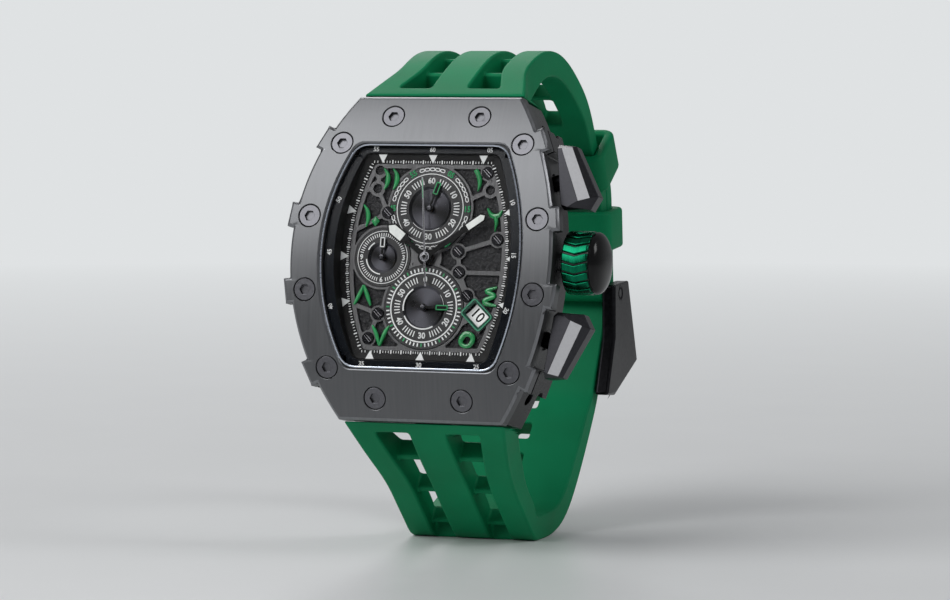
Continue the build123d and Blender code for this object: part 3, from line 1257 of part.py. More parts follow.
upper_start = side_of(STRAP_END_TOP_DEPTH, BEZEL_HALF_HEIGHT + STRAP_END_GAP)
upper_rim = side_of(STRAP_END_TOP_DEPTH, BEZEL_HALF_HEIGHT + STRAP_END_RISE)
upper_heel = side_of(STRAP_END_TOP_DEPTH + STRAP_END_THICKNESS, BEZEL_HALF_HEIGHT + STRAP_END_GAP)
upper_points = [share_between(upper_rim, RUN_TOP, shares) for shares in UPPER_SHARES]
upper_inner = drawn_in(upper_points, [STRAP_THICKNESS * share for share in UPPER_THICKNESS_SHARES], -1)

lower_start = side_of(STRAP_END_TOP_DEPTH, -BEZEL_HALF_HEIGHT - STRAP_END_GAP)
lower_heel = side_of(STRAP_END_TOP_DEPTH + STRAP_END_THICKNESS, -BEZEL_HALF_HEIGHT - STRAP_END_GAP)
foot_front = Vector(FOOT_START, -DIAL_HEIGHT)
foot_rear = Vector(FOOT_START + FOOT_LENGTH, -DIAL_HEIGHT)
lower_points = [share_between(lower_start, foot_front, shares) for shares in LOWER_SHARES]
lower_inner = drawn_in(lower_points, [STRAP_THICKNESS * share for share in LOWER_THICKNESS_SHARES], 1)
back_points = [side_share(*shares) for shares in BACK_SHARES]
back_inner = drawn_in(back_points, [STRAP_THICKNESS * share for share in BACK_THICKNESS_SHARES], 1)
lift = Vector(0, STRAP_THICKNESS)
along_foot = Vector(1, 0)

tail_bend = RUN_END + LOWER_RUN * TAIL_BEND_DROP
outer_bend = tail_bend + LOWER_OUT * (TAIL_GAP + TAIL_THICKNESS)
SLANT = run_between(back_points[-1], outer_bend)
SLANT_OUT = -left_of(SLANT)
inner_bend = mitred(outer_bend - SLANT, outer_bend, outer_bend - LOWER_RUN, TAIL_THICKNESS)
slant_inner = back_points[-1] - SLANT_OUT * TAIL_THICKNESS
corner_inner = mitred(RUN_TOP, RUN_CORNER, RUN_END, TAIL_GAP)
corner_outer = mitred(RUN_TOP, RUN_CORNER, RUN_END, TAIL_GAP + TAIL_THICKNESS)
tail_end = RUN_CORNER - UPPER_RUN * TAIL_OVERLAP
short_corner = mitred(RUN_TOP, RUN_CORNER, RUN_END, -SHORT_END_THICKNESS)

with BuildLine() as upper_line:
    Spline(
        upper_rim, *upper_points, RUN_TOP,
        tangents=[run_between(upper_rim, upper_points[0]), UPPER_RUN],
    )
with BuildLine() as lower_line:
    Spline(
        lower_start, *lower_points, foot_front,
        tangents=[run_between(lower_start, lower_points[0]), along_foot],
    )
with BuildLine() as back_line:
    Spline(foot_rear, *back_points, tangents=[along_foot, SLANT])
upper_path, lower_path, back_path = upper_line.edge(), lower_line.edge(), back_line.edge()
upper_taper, lower_taper = (upper_points[0] - upper_rim).length, (lower_points[1] - lower_start).length


def half_width(distance, taper):
    """Strap half width at a distance along a strap that narrows over its first run."""
    share = min(distance / taper, 1.0)
    return STRAP_HALF_WIDTH_CASE + share * (STRAP_HALF_WIDTH_BACK - STRAP_HALF_WIDTH_CASE)


def strap_station(path, distance, side):
    """Plane on the strap's outer face: local x is across the strap, local y along it."""
    point = path.position_at(distance, position_mode=PositionMode.LENGTH)
    run = path.tangent_at(distance, position_mode=PositionMode.LENGTH)
    outward = left_of(Vector(run.X, run.Y)) * side
    origin = SIDE.from_local_coords(Vector(point.X, point.Y, 0))
    return Plane(origin=origin, x_dir=(1, 0, 0), z_dir=(0, outward.X, outward.Y))


def cut_windows(path, taper, count, side):
    """Two columns of openings with recessed cross bars; the last ends with its run at the latest."""
    reach = STRAP_THICKNESS * UPPER_THICKNESS_SHARES[0] + OVERRUN
    for index in range(count):
        start = WINDOW_START + index * WINDOW_PITCH
        length = min(WINDOW_PITCH, path.length - start)
        distance = start + length / 2
        width = half_width(distance, taper) - WINDOW_SIDE_BAND - WINDOW_INNER_X
        middle = WINDOW_INNER_X + width / 2
        station = strap_station(path, distance, side)
        with BuildSketch(station.offset(OVERRUN)) as recess:
            with Locations((middle, 0), (-middle, 0)):
                Rectangle(width, length)
        extrude(recess.sketch, amount=-OVERRUN - WINDOW_RECESS, mode=Mode.SUBTRACT)
        with BuildSketch(station) as opening:
            with Locations((middle, 0), (-middle, 0)):
                Rectangle(width, length - WINDOW_BAR)
        extrude(opening.sketch, amount=-reach, mode=Mode.SUBTRACT)


def strap_tongue(sign):
    """Tongue into the case pocket, with the hole for its pin."""
    with BuildSketch(lug_plane(sign)) as tongue:
        with Locations((-TONGUE_LENGTH, 0)):
            Rectangle(
                TONGUE_LENGTH + TONGUE_REACH, TONGUE_THICKNESS, align=(Align.MIN, Align.CENTER)
            )
    extrude(tongue.sketch, amount=TONGUE_HALF_WIDTH, both=True)
    with BuildSketch(lug_plane(sign)) as pin:
        Circle(LUG_PIN_RADIUS)
    extrude(pin.sketch, amount=TONGUE_HALF_WIDTH + OVERRUN, both=True, mode=Mode.SUBTRACT)


# Envelope of the straps' widths: narrowing over the first run, in plan above and in front below
with BuildPart() as upper_envelope:
    with BuildSketch():
        Polygon(
            (-STRAP_HALF_WIDTH_CASE, -DIAL_FORWARD), (STRAP_HALF_WIDTH_CASE, -DIAL_FORWARD),
            (STRAP_HALF_WIDTH_CASE, -DIAL_FORWARD + upper_rim.X),
            (STRAP_HALF_WIDTH_BACK, -DIAL_FORWARD + upper_points[0].X),
            (STRAP_HALF_WIDTH_BACK, LOOP_DEPTH), (-STRAP_HALF_WIDTH_BACK, LOOP_DEPTH),
            (-STRAP_HALF_WIDTH_BACK, -DIAL_FORWARD + upper_points[0].X),
            (-STRAP_HALF_WIDTH_CASE, -DIAL_FORWARD + upper_rim.X),
            align=None,
        )
    extrude(amount=2 * DIAL_HEIGHT)

with BuildPart() as lower_envelope:
    with BuildSketch(Plane.XZ.offset(-FOOT_START + DIAL_FORWARD)):
        Polygon(
            (-STRAP_HALF_WIDTH_CASE, DIAL_HEIGHT), (STRAP_HALF_WIDTH_CASE, DIAL_HEIGHT),
            (STRAP_HALF_WIDTH_CASE, DIAL_HEIGHT + lower_start.Y),
            (STRAP_HALF_WIDTH_BACK, DIAL_HEIGHT + lower_points[1].Y),
            (STRAP_HALF_WIDTH_BACK, -OVERRUN), (-STRAP_HALF_WIDTH_BACK, -OVERRUN),
            (-STRAP_HALF_WIDTH_BACK, DIAL_HEIGHT + lower_points[1].Y),
            (-STRAP_HALF_WIDTH_CASE, DIAL_HEIGHT + lower_start.Y),
            align=None,
        )
    extrude(amount=2 * FOOT_START)
    with BuildSketch(Plane.XZ.offset(-LOOP_DEPTH)):
        with Locations((0, DIAL_HEIGHT)):
            Rectangle(2 * STRAP_HALF_WIDTH_BACK, 3 * DIAL_HEIGHT)
    extrude(amount=2 * LOOP_DEPTH)

# Upper strap: from the case over the top and down to the spring bar
with BuildPart() as strap_upper:
    with BuildSketch(SIDE) as upper_profile:
        with BuildLine():
            Line(upper_heel, upper_start)
            Line(upper_start, upper_rim)
            add(upper_path)
            Line(RUN_TOP, RUN_CORNER)
            Line(RUN_CORNER, RUN_END)
            ThreePointArc(
                RUN_END,
                BAR_CENTRE + LOWER_RUN * (SHORT_END_THICKNESS / 2),
                RUN_END - LOWER_OUT * SHORT_END_THICKNESS,
            )
            Line(RUN_END - LOWER_OUT * SHORT_END_THICKNESS, short_corner)
            Line(short_corner, RUN_TOP - UPPER_OUT * SHORT_END_THICKNESS)
            Spline(
                RUN_TOP - UPPER_OUT * SHORT_END_THICKNESS, *reversed(upper_inner), upper_heel,
                tangents=[-UPPER_RUN, run_between(upper_inner[0], upper_heel)],
            )
        make_face()
        fillet(upper_profile.vertices().sort_by_distance(RUN_CORNER)[0], TAIL_BEND_RADIUS)
        fillet(
            upper_profile.vertices().sort_by_distance(short_corner)[0],
            TAIL_BEND_RADIUS - SHORT_END_THICKNESS,
        )
    extrude(amount=STRAP_HALF_WIDTH_CASE, both=True)
    add(upper_envelope.part, mode=Mode.INTERSECT)
    strap_tongue(1)
    cut_windows(upper_path, upper_taper, UPPER_WINDOWS, 1)
    with BuildSketch(SIDE):
        with Locations(BAR_CENTRE):
            Circle(SPRING_BAR_RADIUS)
    extrude(amount=STRAP_HALF_WIDTH_CASE, both=True, mode=Mode.SUBTRACT)
    notch = BAR_CENTRE - LOWER_RUN * (SPRING_BAR_RADIUS + PRONG_LOOP + PRONG_SIDE_GAP)
    with BuildSketch(SIDE):
        with BuildLine():
            Line(notch - LOWER_OUT * TAIL_BEND_RADIUS, notch + LOWER_OUT * TAIL_BEND_RADIUS)
            notch_end = notch + LOWER_RUN * TAIL_BEND_RADIUS
            Line(notch + LOWER_OUT * TAIL_BEND_RADIUS, notch_end + LOWER_OUT * TAIL_BEND_RADIUS)
            Line(notch_end + LOWER_OUT * TAIL_BEND_RADIUS, notch_end - LOWER_OUT * TAIL_BEND_RADIUS)
            Line(notch_end - LOWER_OUT * TAIL_BEND_RADIUS, notch - LOWER_OUT * TAIL_BEND_RADIUS)
        make_face()
    extrude(amount=PRONG_WIDTH / 2 + PRONG_SIDE_GAP, both=True, mode=Mode.SUBTRACT)
write(strap_upper, "strap_upper")

# Lower strap: from the case round the foot, through the buckle and under the keepers
with BuildPart() as strap_lower:
    with BuildSketch(SIDE) as lower_profile:
        with BuildLine():
            Line(lower_heel, lower_start)
            add(lower_path)
            Line(foot_front, foot_rear)
            add(back_path)
            Line(back_points[-1], outer_bend)
            Line(outer_bend, corner_outer)
            Line(corner_outer, tail_end + UPPER_OUT * (TAIL_GAP + TAIL_THICKNESS))
            Line(tail_end + UPPER_OUT * (TAIL_GAP + TAIL_THICKNESS), tail_end + UPPER_OUT * TAIL_GAP)
            Line(tail_end + UPPER_OUT * TAIL_GAP, corner_inner)
            Line(corner_inner, inner_bend)
            Line(inner_bend, slant_inner)
            Spline(
                slant_inner, *reversed(back_inner[:-1]), foot_rear + lift,
                tangents=[-SLANT, -along_foot],
            )
            Line(foot_rear + lift, foot_front + lift)
            Spline(
                foot_front + lift, *reversed(lower_inner), lower_heel,
                tangents=[-along_foot, run_between(lower_inner[0], lower_heel)],
            )
        make_face()
        fillet(
            lower_profile.vertices().sort_by_distance(corner_inner)[0], TAIL_BEND_RADIUS + TAIL_GAP
        )
        fillet(
            lower_profile.vertices().sort_by_distance(corner_outer)[0],
            TAIL_BEND_RADIUS + TAIL_GAP + TAIL_THICKNESS,
        )
        fillet(lower_profile.vertices().sort_by_distance(inner_bend)[0], SHORT_END_THICKNESS / 2)
        fillet(
            lower_profile.vertices().sort_by_distance(outer_bend)[0],
            SHORT_END_THICKNESS / 2 + TAIL_THICKNESS,
        )
    extrude(amount=STRAP_HALF_WIDTH_CASE, both=True)
    add(lower_envelope.part, mode=Mode.INTERSECT)
    strap_tongue(-1)
    cut_windows(lower_path, lower_taper, LOWER_WINDOWS, -1)
    for index in range(HOLE_COUNT):
        station = strap_station(back_path, back_path.length - (index + 0.5) * HOLE_PITCH, -1)
        with BuildSketch(station.offset(OVERRUN)):
            SlotOverall(HOLE_LENGTH, HOLE_WIDTH, rotation=90)
        extrude(amount=-STRAP_THICKNESS - 2 * OVERRUN, mode=Mode.SUBTRACT)
    with BuildSketch(SIDE):
        with BuildLine():
            low_run = turned_run(PRONG_ANGLE)
            high_run = turned_run(PRONG_ANGLE + PRONG_LIFT)
            low_edge = BAR_CENTRE - left_of(low_run) * (PRONG_THICKNESS / 2 + PRONG_SIDE_GAP)
            high_edge = BAR_CENTRE + left_of(high_run) * (PRONG_THICKNESS / 2 + PRONG_SIDE_GAP)
            reach = FAR_BAR_START
            Polyline(
                low_edge, low_edge + low_run * reach, high_edge + high_run * reach, high_edge, low_edge
            )
        make_face()
    extrude(amount=PRONG_WIDTH / 2 + PRONG_SIDE_GAP, both=True, mode=Mode.SUBTRACT)
write(strap_lower, "strap_lower")


def keeper(middle, run, out, gap):
    """Band round both straps: gap is left on every side of them."""
    origin = SIDE.from_local_coords(Vector(middle.X, middle.Y, 0))
    across = Plane(origin=origin, x_dir=(1, 0, 0), z_dir=(0, run.X, run.Y))
    outward = 1 if across.y_dir.dot(Vector(0, out.X, out.Y)) > 0 else -1
    top = TAIL_GAP + TAIL_THICKNESS + gap
    bottom = -SHORT_END_THICKNESS - gap
    with BuildPart() as band:
        with BuildSketch(across):
            with Locations((0, outward * (top + bottom) / 2)):
                RectangleRounded(
                    2 * (STRAP_HALF_WIDTH_BACK + gap + KEEPER_WALL),
                    top - bottom + 2 * KEEPER_WALL,
                    KEEPER_CORNER,
                )
                Rectangle(2 * (STRAP_HALF_WIDTH_BACK + gap), top - bottom, mode=Mode.SUBTRACT)
        extrude(amount=KEEPER_LENGTH / 2, both=True)
    return band


write(keeper(RUN_CORNER - UPPER_RUN * FREE_KEEPER_RISE, UPPER_RUN, UPPER_OUT, KEEPER_GAP), "keeper_free")
write(keeper(RUN_CORNER + LOWER_RUN * FIXED_KEEPER_DROP, LOWER_RUN, LOWER_OUT, 0.0), "keeper_fixed")

# Buckle: frame of two cheeks and a far bar, spring bar, and the prong between the cheeks
CHEEK_START = STRAP_HALF_WIDTH_BACK + BUCKLE_SIDE_GAP
CHEEK_END = CHEEK_START + BUCKLE_CHEEK
prong_run = turned_run(PRONG_ANGLE)
prong_out = left_of(prong_run)
prong_seat = -(PRONG_THICKNESS / 2 + SEAT_GAP)
bar_inner_start = outer_bend - SLANT * FAR_BAR_START + SLANT_OUT * FAR_BAR_GAP
bar_inner_end = bar_inner_start - SLANT * FAR_BAR_LENGTH
far_bar_points = (
    bar_inner_start,
    bar_inner_end,
    bar_inner_end + SLANT_OUT * PRONG_WIDTH,
    BAR_CENTRE + prong_run * PRONG_LENGTH + prong_out * prong_seat,
    BAR_CENTRE + prong_run * (PRONG_LENGTH - FAR_BAR_LENGTH + OVERRUN) + prong_out * prong_seat,
)

with BuildPart() as buckle_frame:
    cheek_points = [BAR_CENTRE + Vector(u * BUCKLE_DEPTH, v * BUCKLE_LENGTH) for u, v in CHEEK_SHARES]
    for side in (1, -1):
        with BuildSketch(SIDE.offset(side * CHEEK_START)):
            Polygon(*[(point.X, point.Y) for point in cheek_points], align=None)
            with Locations(BAR_CENTRE):
                Circle(SPRING_BAR_RADIUS + SPRING_BAR_GAP, mode=Mode.SUBTRACT)
        extrude(amount=side * BUCKLE_CHEEK)
    with BuildSketch(SIDE):
        Polygon(*[(point.X, point.Y) for point in far_bar_points], align=None)
    extrude(amount=CHEEK_START + OVERRUN, both=True)
write(buckle_frame, "buckle_frame")

with BuildPart() as buckle_spring_bar:
    with BuildSketch(SIDE):
        with Locations(BAR_CENTRE):
            Circle(SPRING_BAR_RADIUS)
    extrude(amount=CHEEK_END - SEAT_GAP, both=True)
write(buckle_spring_bar, "buckle_spring_bar")

with BuildPart() as buckle_prong:
    with BuildSketch(SIDE):
        prong_side = prong_out * (PRONG_THICKNESS / 2)
        prong_tip = BAR_CENTRE + prong_run * PRONG_LENGTH
        with Locations(BAR_CENTRE):
            Circle(SPRING_BAR_RADIUS + PRONG_LOOP)
        corners = (
            BAR_CENTRE + prong_side, prong_tip + prong_side,
            prong_tip - prong_side, BAR_CENTRE - prong_side,
        )
        Polygon(*[(point.X, point.Y) for point in corners], align=None)
        with Locations(BAR_CENTRE):
            Circle(SPRING_BAR_RADIUS + SPRING_BAR_GAP, mode=Mode.SUBTRACT)
    extrude(amount=PRONG_WIDTH / 2, both=True)
write(buckle_prong, "buckle_prong")
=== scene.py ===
import json
import math

import bmesh
import bpy
import numpy as np
from mathutils import Matrix, Vector

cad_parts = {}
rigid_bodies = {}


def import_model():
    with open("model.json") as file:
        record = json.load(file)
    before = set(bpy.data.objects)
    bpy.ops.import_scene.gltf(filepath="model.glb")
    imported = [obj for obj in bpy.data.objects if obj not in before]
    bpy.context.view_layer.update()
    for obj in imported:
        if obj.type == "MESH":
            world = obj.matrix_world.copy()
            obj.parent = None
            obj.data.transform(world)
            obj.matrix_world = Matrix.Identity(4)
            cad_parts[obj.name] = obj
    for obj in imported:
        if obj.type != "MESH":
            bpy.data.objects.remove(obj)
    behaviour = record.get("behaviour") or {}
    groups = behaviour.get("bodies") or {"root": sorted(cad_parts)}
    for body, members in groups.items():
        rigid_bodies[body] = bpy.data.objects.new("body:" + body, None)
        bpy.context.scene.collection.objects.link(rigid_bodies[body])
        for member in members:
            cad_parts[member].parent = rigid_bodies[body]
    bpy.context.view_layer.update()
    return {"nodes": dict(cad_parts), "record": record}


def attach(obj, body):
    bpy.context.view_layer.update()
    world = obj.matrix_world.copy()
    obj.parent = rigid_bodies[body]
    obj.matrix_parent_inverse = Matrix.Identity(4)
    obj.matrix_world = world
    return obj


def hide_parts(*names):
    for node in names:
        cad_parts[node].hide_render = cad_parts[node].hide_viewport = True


# Tonneau chronograph wristwatch. The CAD part is the frame; this script gives it its finishes,
# its dial printing, the crown's tread and the moulded strap. Sizes here are millimetres and are
# turned to metres when a mesh is placed. Dial places are (across, towards 12, depth behind the
# front of the bezel).

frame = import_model()
nodes = frame["nodes"]

MM = 0.001
LEAN = math.radians(11.0)
DIAL_CENTRE = Vector((0.0, -27.5, 46.3))
ACROSS = Vector((1.0, 0.0, 0.0))
DIAL_UP = Vector((0.0, math.sin(LEAN), math.cos(LEAN)))
DIAL_OUT = Vector((0.0, -math.cos(LEAN), math.sin(LEAN)))


def placing(origin, x_axis, y_axis, z_axis):
    """Matrix from a local millimetre frame to the row frame in metres."""
    place = Matrix((x_axis, y_axis, z_axis)).transposed().to_4x4()
    place.translation = origin
    return Matrix.Scale(MM, 4) @ place


DIAL_PLACE = placing(DIAL_CENTRE, ACROSS, DIAL_UP, DIAL_OUT)
SIDE_PLACE = placing(DIAL_CENTRE, Vector((0, 1, 0)), Vector((0, 0, 1)), Vector((1, 0, 0)))


# ---------------------------------------------------------------- shader building
class Wire:
    """An output socket of a material, with arithmetic that adds Math nodes."""

    def __init__(self, finish, socket):
        self.finish = finish
        self.socket = socket

    def maths(self, operation, *others):
        values = dict(enumerate((self, *others)))
        return self.finish.node("ShaderNodeMath", {"operation": operation}, values)[0]

    def __add__(self, other):
        return self.maths("ADD", other)

    def __sub__(self, other):
        return self.maths("SUBTRACT", other)

    def __rsub__(self, other):
        return self.finish.node("ShaderNodeMath", {"operation": "SUBTRACT"}, {0: other, 1: self})[0]

    def __mul__(self, other):
        return self.maths("MULTIPLY", other)

    def __lt__(self, other):
        return self.maths("LESS_THAN", other)


class Added:
    """A node just added: its outputs by name or number."""

    def __init__(self, finish, made):
        self.finish = finish
        self.made = made

    def __getitem__(self, key):
        return Wire(self.finish, self.made.outputs[key])


class Finish:
    """A material under construction, about one Principled shader."""

    def __init__(self, name):
        self.material = bpy.data.materials.new(name)
        self.material.use_nodes = True
        self.tree = self.material.node_tree
        self.tree.nodes.clear()

    def node(self, kind, settings=None, values=None):
        """Adds a node: settings are set first, then its sockets get values or wires."""
        made = self.tree.nodes.new(kind)
        for key, value in (settings or {}).items():
            setattr(made, key, value)
        for key, value in (values or {}).items():
            if isinstance(value, Wire):
                self.tree.links.new(value.socket, made.inputs[key])
            else:
                made.inputs[key].default_value = value
        return Added(self, made)

    def place(self):
        """Where the surface point is, in object coordinates."""
        return self.node("ShaderNodeTexCoord")["Object"]

    def along(self, direction, origin=(0.0, 0.0, 0.0)):
        """Distance of a surface point along a direction from an origin, in metres."""
        moved = self.node("ShaderNodeVectorMath", {"operation": "SUBTRACT"}, {0: self.place(), 1: origin})[0]
        return self.node("ShaderNodeVectorMath", {"operation": "DOT_PRODUCT"}, {0: moved, 1: direction})["Value"]

    def noise(self, scale, detail=3.0, roughness=0.55, stretch=(1.0, 1.0, 1.0)):
        """Noise of so many bumps to the metre, drawn out where a stretch is small."""
        sized = self.node("ShaderNodeMapping", {}, {"Vector": self.place(), "Scale": stretch})[0]
        values = {"Vector": sized, "Scale": scale, "Detail": detail, "Roughness": roughness}
        return self.node("ShaderNodeTexNoise", {}, values)[0]

    def span(self, wire, low, high, to_low, to_high):
        """Maps a range of a wire to another range, and holds it there."""
        values = {"Value": wire, "From Min": low, "From Max": high, "To Min": to_low, "To Max": to_high}
        return self.node("ShaderNodeMapRange", {}, values)[0]

    def blend(self, share, first, second):
        """Colour between two colours."""
        values = {"Factor": share, 6: first, 7: second}
        return self.node("ShaderNodeMix", {"data_type": "RGBA"}, values)[2]

    def bump(self, height, distance):
        """Normal of a relief so many metres high."""
        return self.node("ShaderNodeBump", {}, {"Height": height, "Distance": distance, "Strength": 1.0})[0]

    def done(self, **sockets):
        """Closes the material with a Principled shader and returns it."""
        shader = self.node("ShaderNodeBsdfPrincipled", {}, {k.replace("_", " "): v for k, v in sockets.items()})
        self.node("ShaderNodeOutputMaterial", {}, {"Surface": shader["BSDF"]})
        return self.material


SCREEN_FULL, SCREEN_KNEE, SCREEN_SLOPE, SCREEN_LIFT, SCREEN_POWER = 255, 10, 12.92, 0.055, 2.4


def rgb(colour):
    """Colour as it looks on a screen, 0 to 255, to the shader's linear values."""
    linear = [
        ((c / SCREEN_FULL + SCREEN_LIFT) / (1 + SCREEN_LIFT)) ** SCREEN_POWER
        if c > SCREEN_KNEE else c / SCREEN_FULL / SCREEN_SLOPE
        for c in colour
    ]
    return (*linear, 1.0)


def brushed_metal(name, colour, light, roughness, stretch, scale, metallic=1.0, bump=0.000004, clouds=60.0):
    """Metal with fine drawn lines, faint clouding in its colour, and roughness that varies with both."""
    f = Finish(name)
    lines = f.noise(scale, 2.0, 0.6, stretch)
    cloud = f.noise(clouds, 3.0)
    tone = f.span(lines * 0.6 + cloud * 0.4, 0.3, 0.7, 0.0, 1.0)
    return f.done(
        Base_Color=f.blend(tone, rgb(colour), rgb(light)),
        Metallic=metallic,
        Roughness=f.span(lines * 0.5 + cloud * 0.5, 0.3, 0.7, roughness - 0.06, roughness + 0.06),
        Normal=f.bump(lines, bump),
    )


def matt(name, colour, light, roughness, grain=3000.0, depth=0.00001, clouds=120.0, **more):
    """Moulded, printed or rubber surface: fine grain in the bump, slow clouds in the colour."""
    f = Finish(name)
    fine = f.noise(grain, 3.0)
    cloud = f.noise(clouds, 2.0)
    return f.done(
        Base_Color=f.blend(f.span(cloud, 0.35, 0.65, 0.0, 1.0), rgb(colour), rgb(light)),
        Roughness=f.span(fine * 0.5 + cloud * 0.5, 0.3, 0.7, roughness - 0.05, roughness + 0.05),
        Normal=f.bump(fine, depth),
        **more,
    )


def turned(name, colour, light, roughness, spot, pitch, dish, sheen, rise, coat):
    """Surface turned about a spot of the dial: fine concentric grooves, and a glossier dish at its middle whose
    colour carries a painted sheen, lighter and darker by the angle about the spot.
    """
    f = Finish(name)
    centre = DIAL_PLACE @ Vector((*spot, 0.0))
    x = f.along(tuple(ACROSS), tuple(centre))
    y = f.along(tuple(DIAL_UP), tuple(centre))
    radius = (x * x + y * y).maths("SQRT")
    groove = (radius * (2 * math.pi / (pitch * MM))).maths("SINE")
    cloud = f.noise(400.0, 2.0)
    within = radius < dish * MM
    # Painted sheen on the dish: its colour swings between near black and the sheen colour with the angle about
    # the spot, standing for a reflection.
    painted_sheen_wave = (x.maths("ARCTAN2", y) * 2.0 + 0.8).maths("SINE")
    glow = f.blend(f.span(painted_sheen_wave, -1.0, 1.0, 0.0, 1.0), (0.003, 0.003, 0.0035, 1.0), rgb(sheen))
    track = f.blend(f.span(groove * 0.3 + cloud, 0.2, 0.9, 0.0, 1.0), rgb(colour), rgb(light))
    return f.done(
        Base_Color=f.blend(within, track, glow),
        Metallic=within * 0.7 + 0.09,
        Roughness=f.span(cloud, 0.3, 0.7, roughness - 0.05, roughness + 0.05) - within * 0.1,
        Coat_Weight=coat,
        Normal=f.bump(groove, rise),
    )


def grained(name, colour, light, roughness, scale, depth):
    """Black base with a coarse leather-like grain of ridges and pits."""
    f = Finish(name)
    cells = f.node("ShaderNodeTexVoronoi", {"feature": "SMOOTH_F1"}, {"Vector": f.place(), "Scale": scale})[0]
    rough = f.noise(scale * 1.4, 4.0, 0.7)
    height = f.span(cells * 0.7 + rough * 0.5, 0.2, 0.9, 0.0, 1.0)
    return f.done(
        Base_Color=f.blend(height, rgb(light), rgb(colour)),
        Roughness=f.span(rough, 0.3, 0.7, roughness - 0.1, roughness + 0.12),
        Specular_IOR_Level=0.3,
        Normal=f.bump(1.0 - height, depth),
    )


def windings(name, colour, light, direction, pitch):
    """Wound enamelled wire: turns across a direction."""
    f = Finish(name)
    across = f.along(direction)
    turns = (across * (2 * math.pi / (pitch * MM))).maths("SINE")
    cloud = f.noise(900.0, 2.0)
    return f.done(
        Base_Color=f.blend(f.span(turns * 0.4 + cloud, 0.0, 1.0, 0.0, 1.0), rgb(colour), rgb(light)),
        Metallic=0.8,
        Roughness=f.span(cloud, 0.3, 0.7, 0.25, 0.4),
        Normal=f.bump(turns, 0.00004),
    )


def tracked(name, colour, light, scale):
    """Circuit board: solder mask with paler tracks under it."""
    f = Finish(name)
    blocks = f.node(
        "ShaderNodeTexVoronoi", {"feature": "F1", "distance": "CHEBYCHEV"},
        {"Vector": f.place(), "Scale": scale},
    )[0]
    bands = (blocks * 40.0).maths("SINE")
    mask = f.span(bands, 0.3, 0.5, 0.0, 1.0)
    cloud = f.noise(600.0, 2.0)
    return f.done(
        Base_Color=f.blend(mask, rgb(colour), rgb(light)),
        Roughness=f.span(cloud, 0.3, 0.7, 0.25, 0.4),
        Normal=f.bump(mask, 0.00003),
    )


def glass(name):
    """Clear crystal: light passes straight through, and only its sheen shows."""
    f = Finish(name)
    dust = f.noise(500.0, 2.0)
    return f.done(
        Base_Color=f.blend(dust, rgb((4, 6, 9)), rgb((7, 9, 13))),
        Roughness=f.span(dust, 0.3, 0.7, 0.2, 0.3),
        Alpha=0.03,
        IOR=1.2,
    )


BRUSH_DOWN, BRUSH_ACROSS, BRUSH_NONE = (1.0, 0.04, 0.04), (0.04, 1.0, 1.0), (1.0, 1.0, 1.0)

satin_gunmetal = brushed_metal(
    "satin_gunmetal", (90, 91, 93), (100, 101, 103), 0.4, BRUSH_DOWN, 2600.0, bump=0.000002
)
# Polished chamfers: a real finish, painted lighter than the satin bezel as a highlight along its edges.
polished_edge = brushed_metal("polished_edge", (116, 117, 120), (134, 135, 138), 0.36, BRUSH_DOWN, 3000.0)
screw_finish = brushed_metal("screw_finish", (86, 86, 90), (104, 104, 108), 0.36, BRUSH_NONE, 2600.0)
case_black = brushed_metal(
    "case_black", (20, 20, 22), (30, 30, 32), 0.3, BRUSH_ACROSS, 1800.0, bump=0.000001
)
pusher_black = brushed_metal(
    "pusher_black", (56, 56, 59), (66, 66, 70), 0.32, BRUSH_NONE, 2400.0, bump=0.000001
)
# The pusher's long outer facet is painted near white: a painted reflection of a lamp.
pusher_facet = brushed_metal(
    "pusher_facet", (196, 196, 199), (208, 208, 211), 0.4, BRUSH_NONE, 2600.0, 0.3, 0.000001
)
polished_black = matt(
    "polished_black", (5, 5, 6), (9, 9, 10), 0.2, 900.0, 0.000001, 200.0, Specular_IOR_Level=0.2, Coat_Weight=0.1
)
crown_ring_green = brushed_metal("crown_ring_green", (8, 84, 58), (16, 112, 78), 0.26, BRUSH_DOWN, 2400.0)
# Dark green of the drum between the tread's blocks: painted shade in the grooves.
crown_groove = matt("crown_groove", (4, 26, 19), (8, 36, 26), 0.5)
rubber_black = matt("rubber_black", (18, 18, 19), (28, 28, 29), 0.6, 4000.0)
flange_band = matt(
    "flange_band", (10, 14, 20), (16, 21, 28), 0.34, 3500.0, 0.000002, Specular_IOR_Level=0.14
)
flange_black = matt("flange_black", (4, 4, 5), (8, 8, 9), 0.6, 3500.0, 0.000004, Specular_IOR_Level=0.3)
plate_grey = brushed_metal(
    "plate_grey", (74, 74, 75), (100, 100, 101), 0.42, (1.0, 0.03, 0.03), 5200.0, 0.9, 0.000004, 220.0
)
base_grain = grained("base_grain", (1, 1, 2), (52, 52, 55), 0.42, 2300.0, 0.0002)
print_white = matt("print_white", (222, 224, 224), (240, 241, 240), 0.5, 5000.0, 0.000004)
print_green = matt("print_green", (18, 138, 78), (30, 160, 94), 0.45, 5000.0, 0.000004)
enamel_green = matt(
    "enamel_green", (8, 126, 62), (16, 150, 78), 0.3, 2500.0, 0.000008, 500.0, Coat_Weight=0.6
)
frame_green = matt(
    "frame_green", (10, 62, 46), (18, 82, 62), 0.28, 2500.0, 0.000006, 500.0, Coat_Weight=0.5
)
frame_rim = matt(
    "frame_rim", (30, 128, 92), (44, 150, 110), 0.3, 2500.0, 0.000006, 500.0, Coat_Weight=0.5
)
# Bright bluish metal for the crystal's bevel: a painted glint of the glass edge.
crystal_rim = brushed_metal("crystal_rim", (190, 198, 212), (214, 220, 230), 0.28, BRUSH_ACROSS, 3000.0)
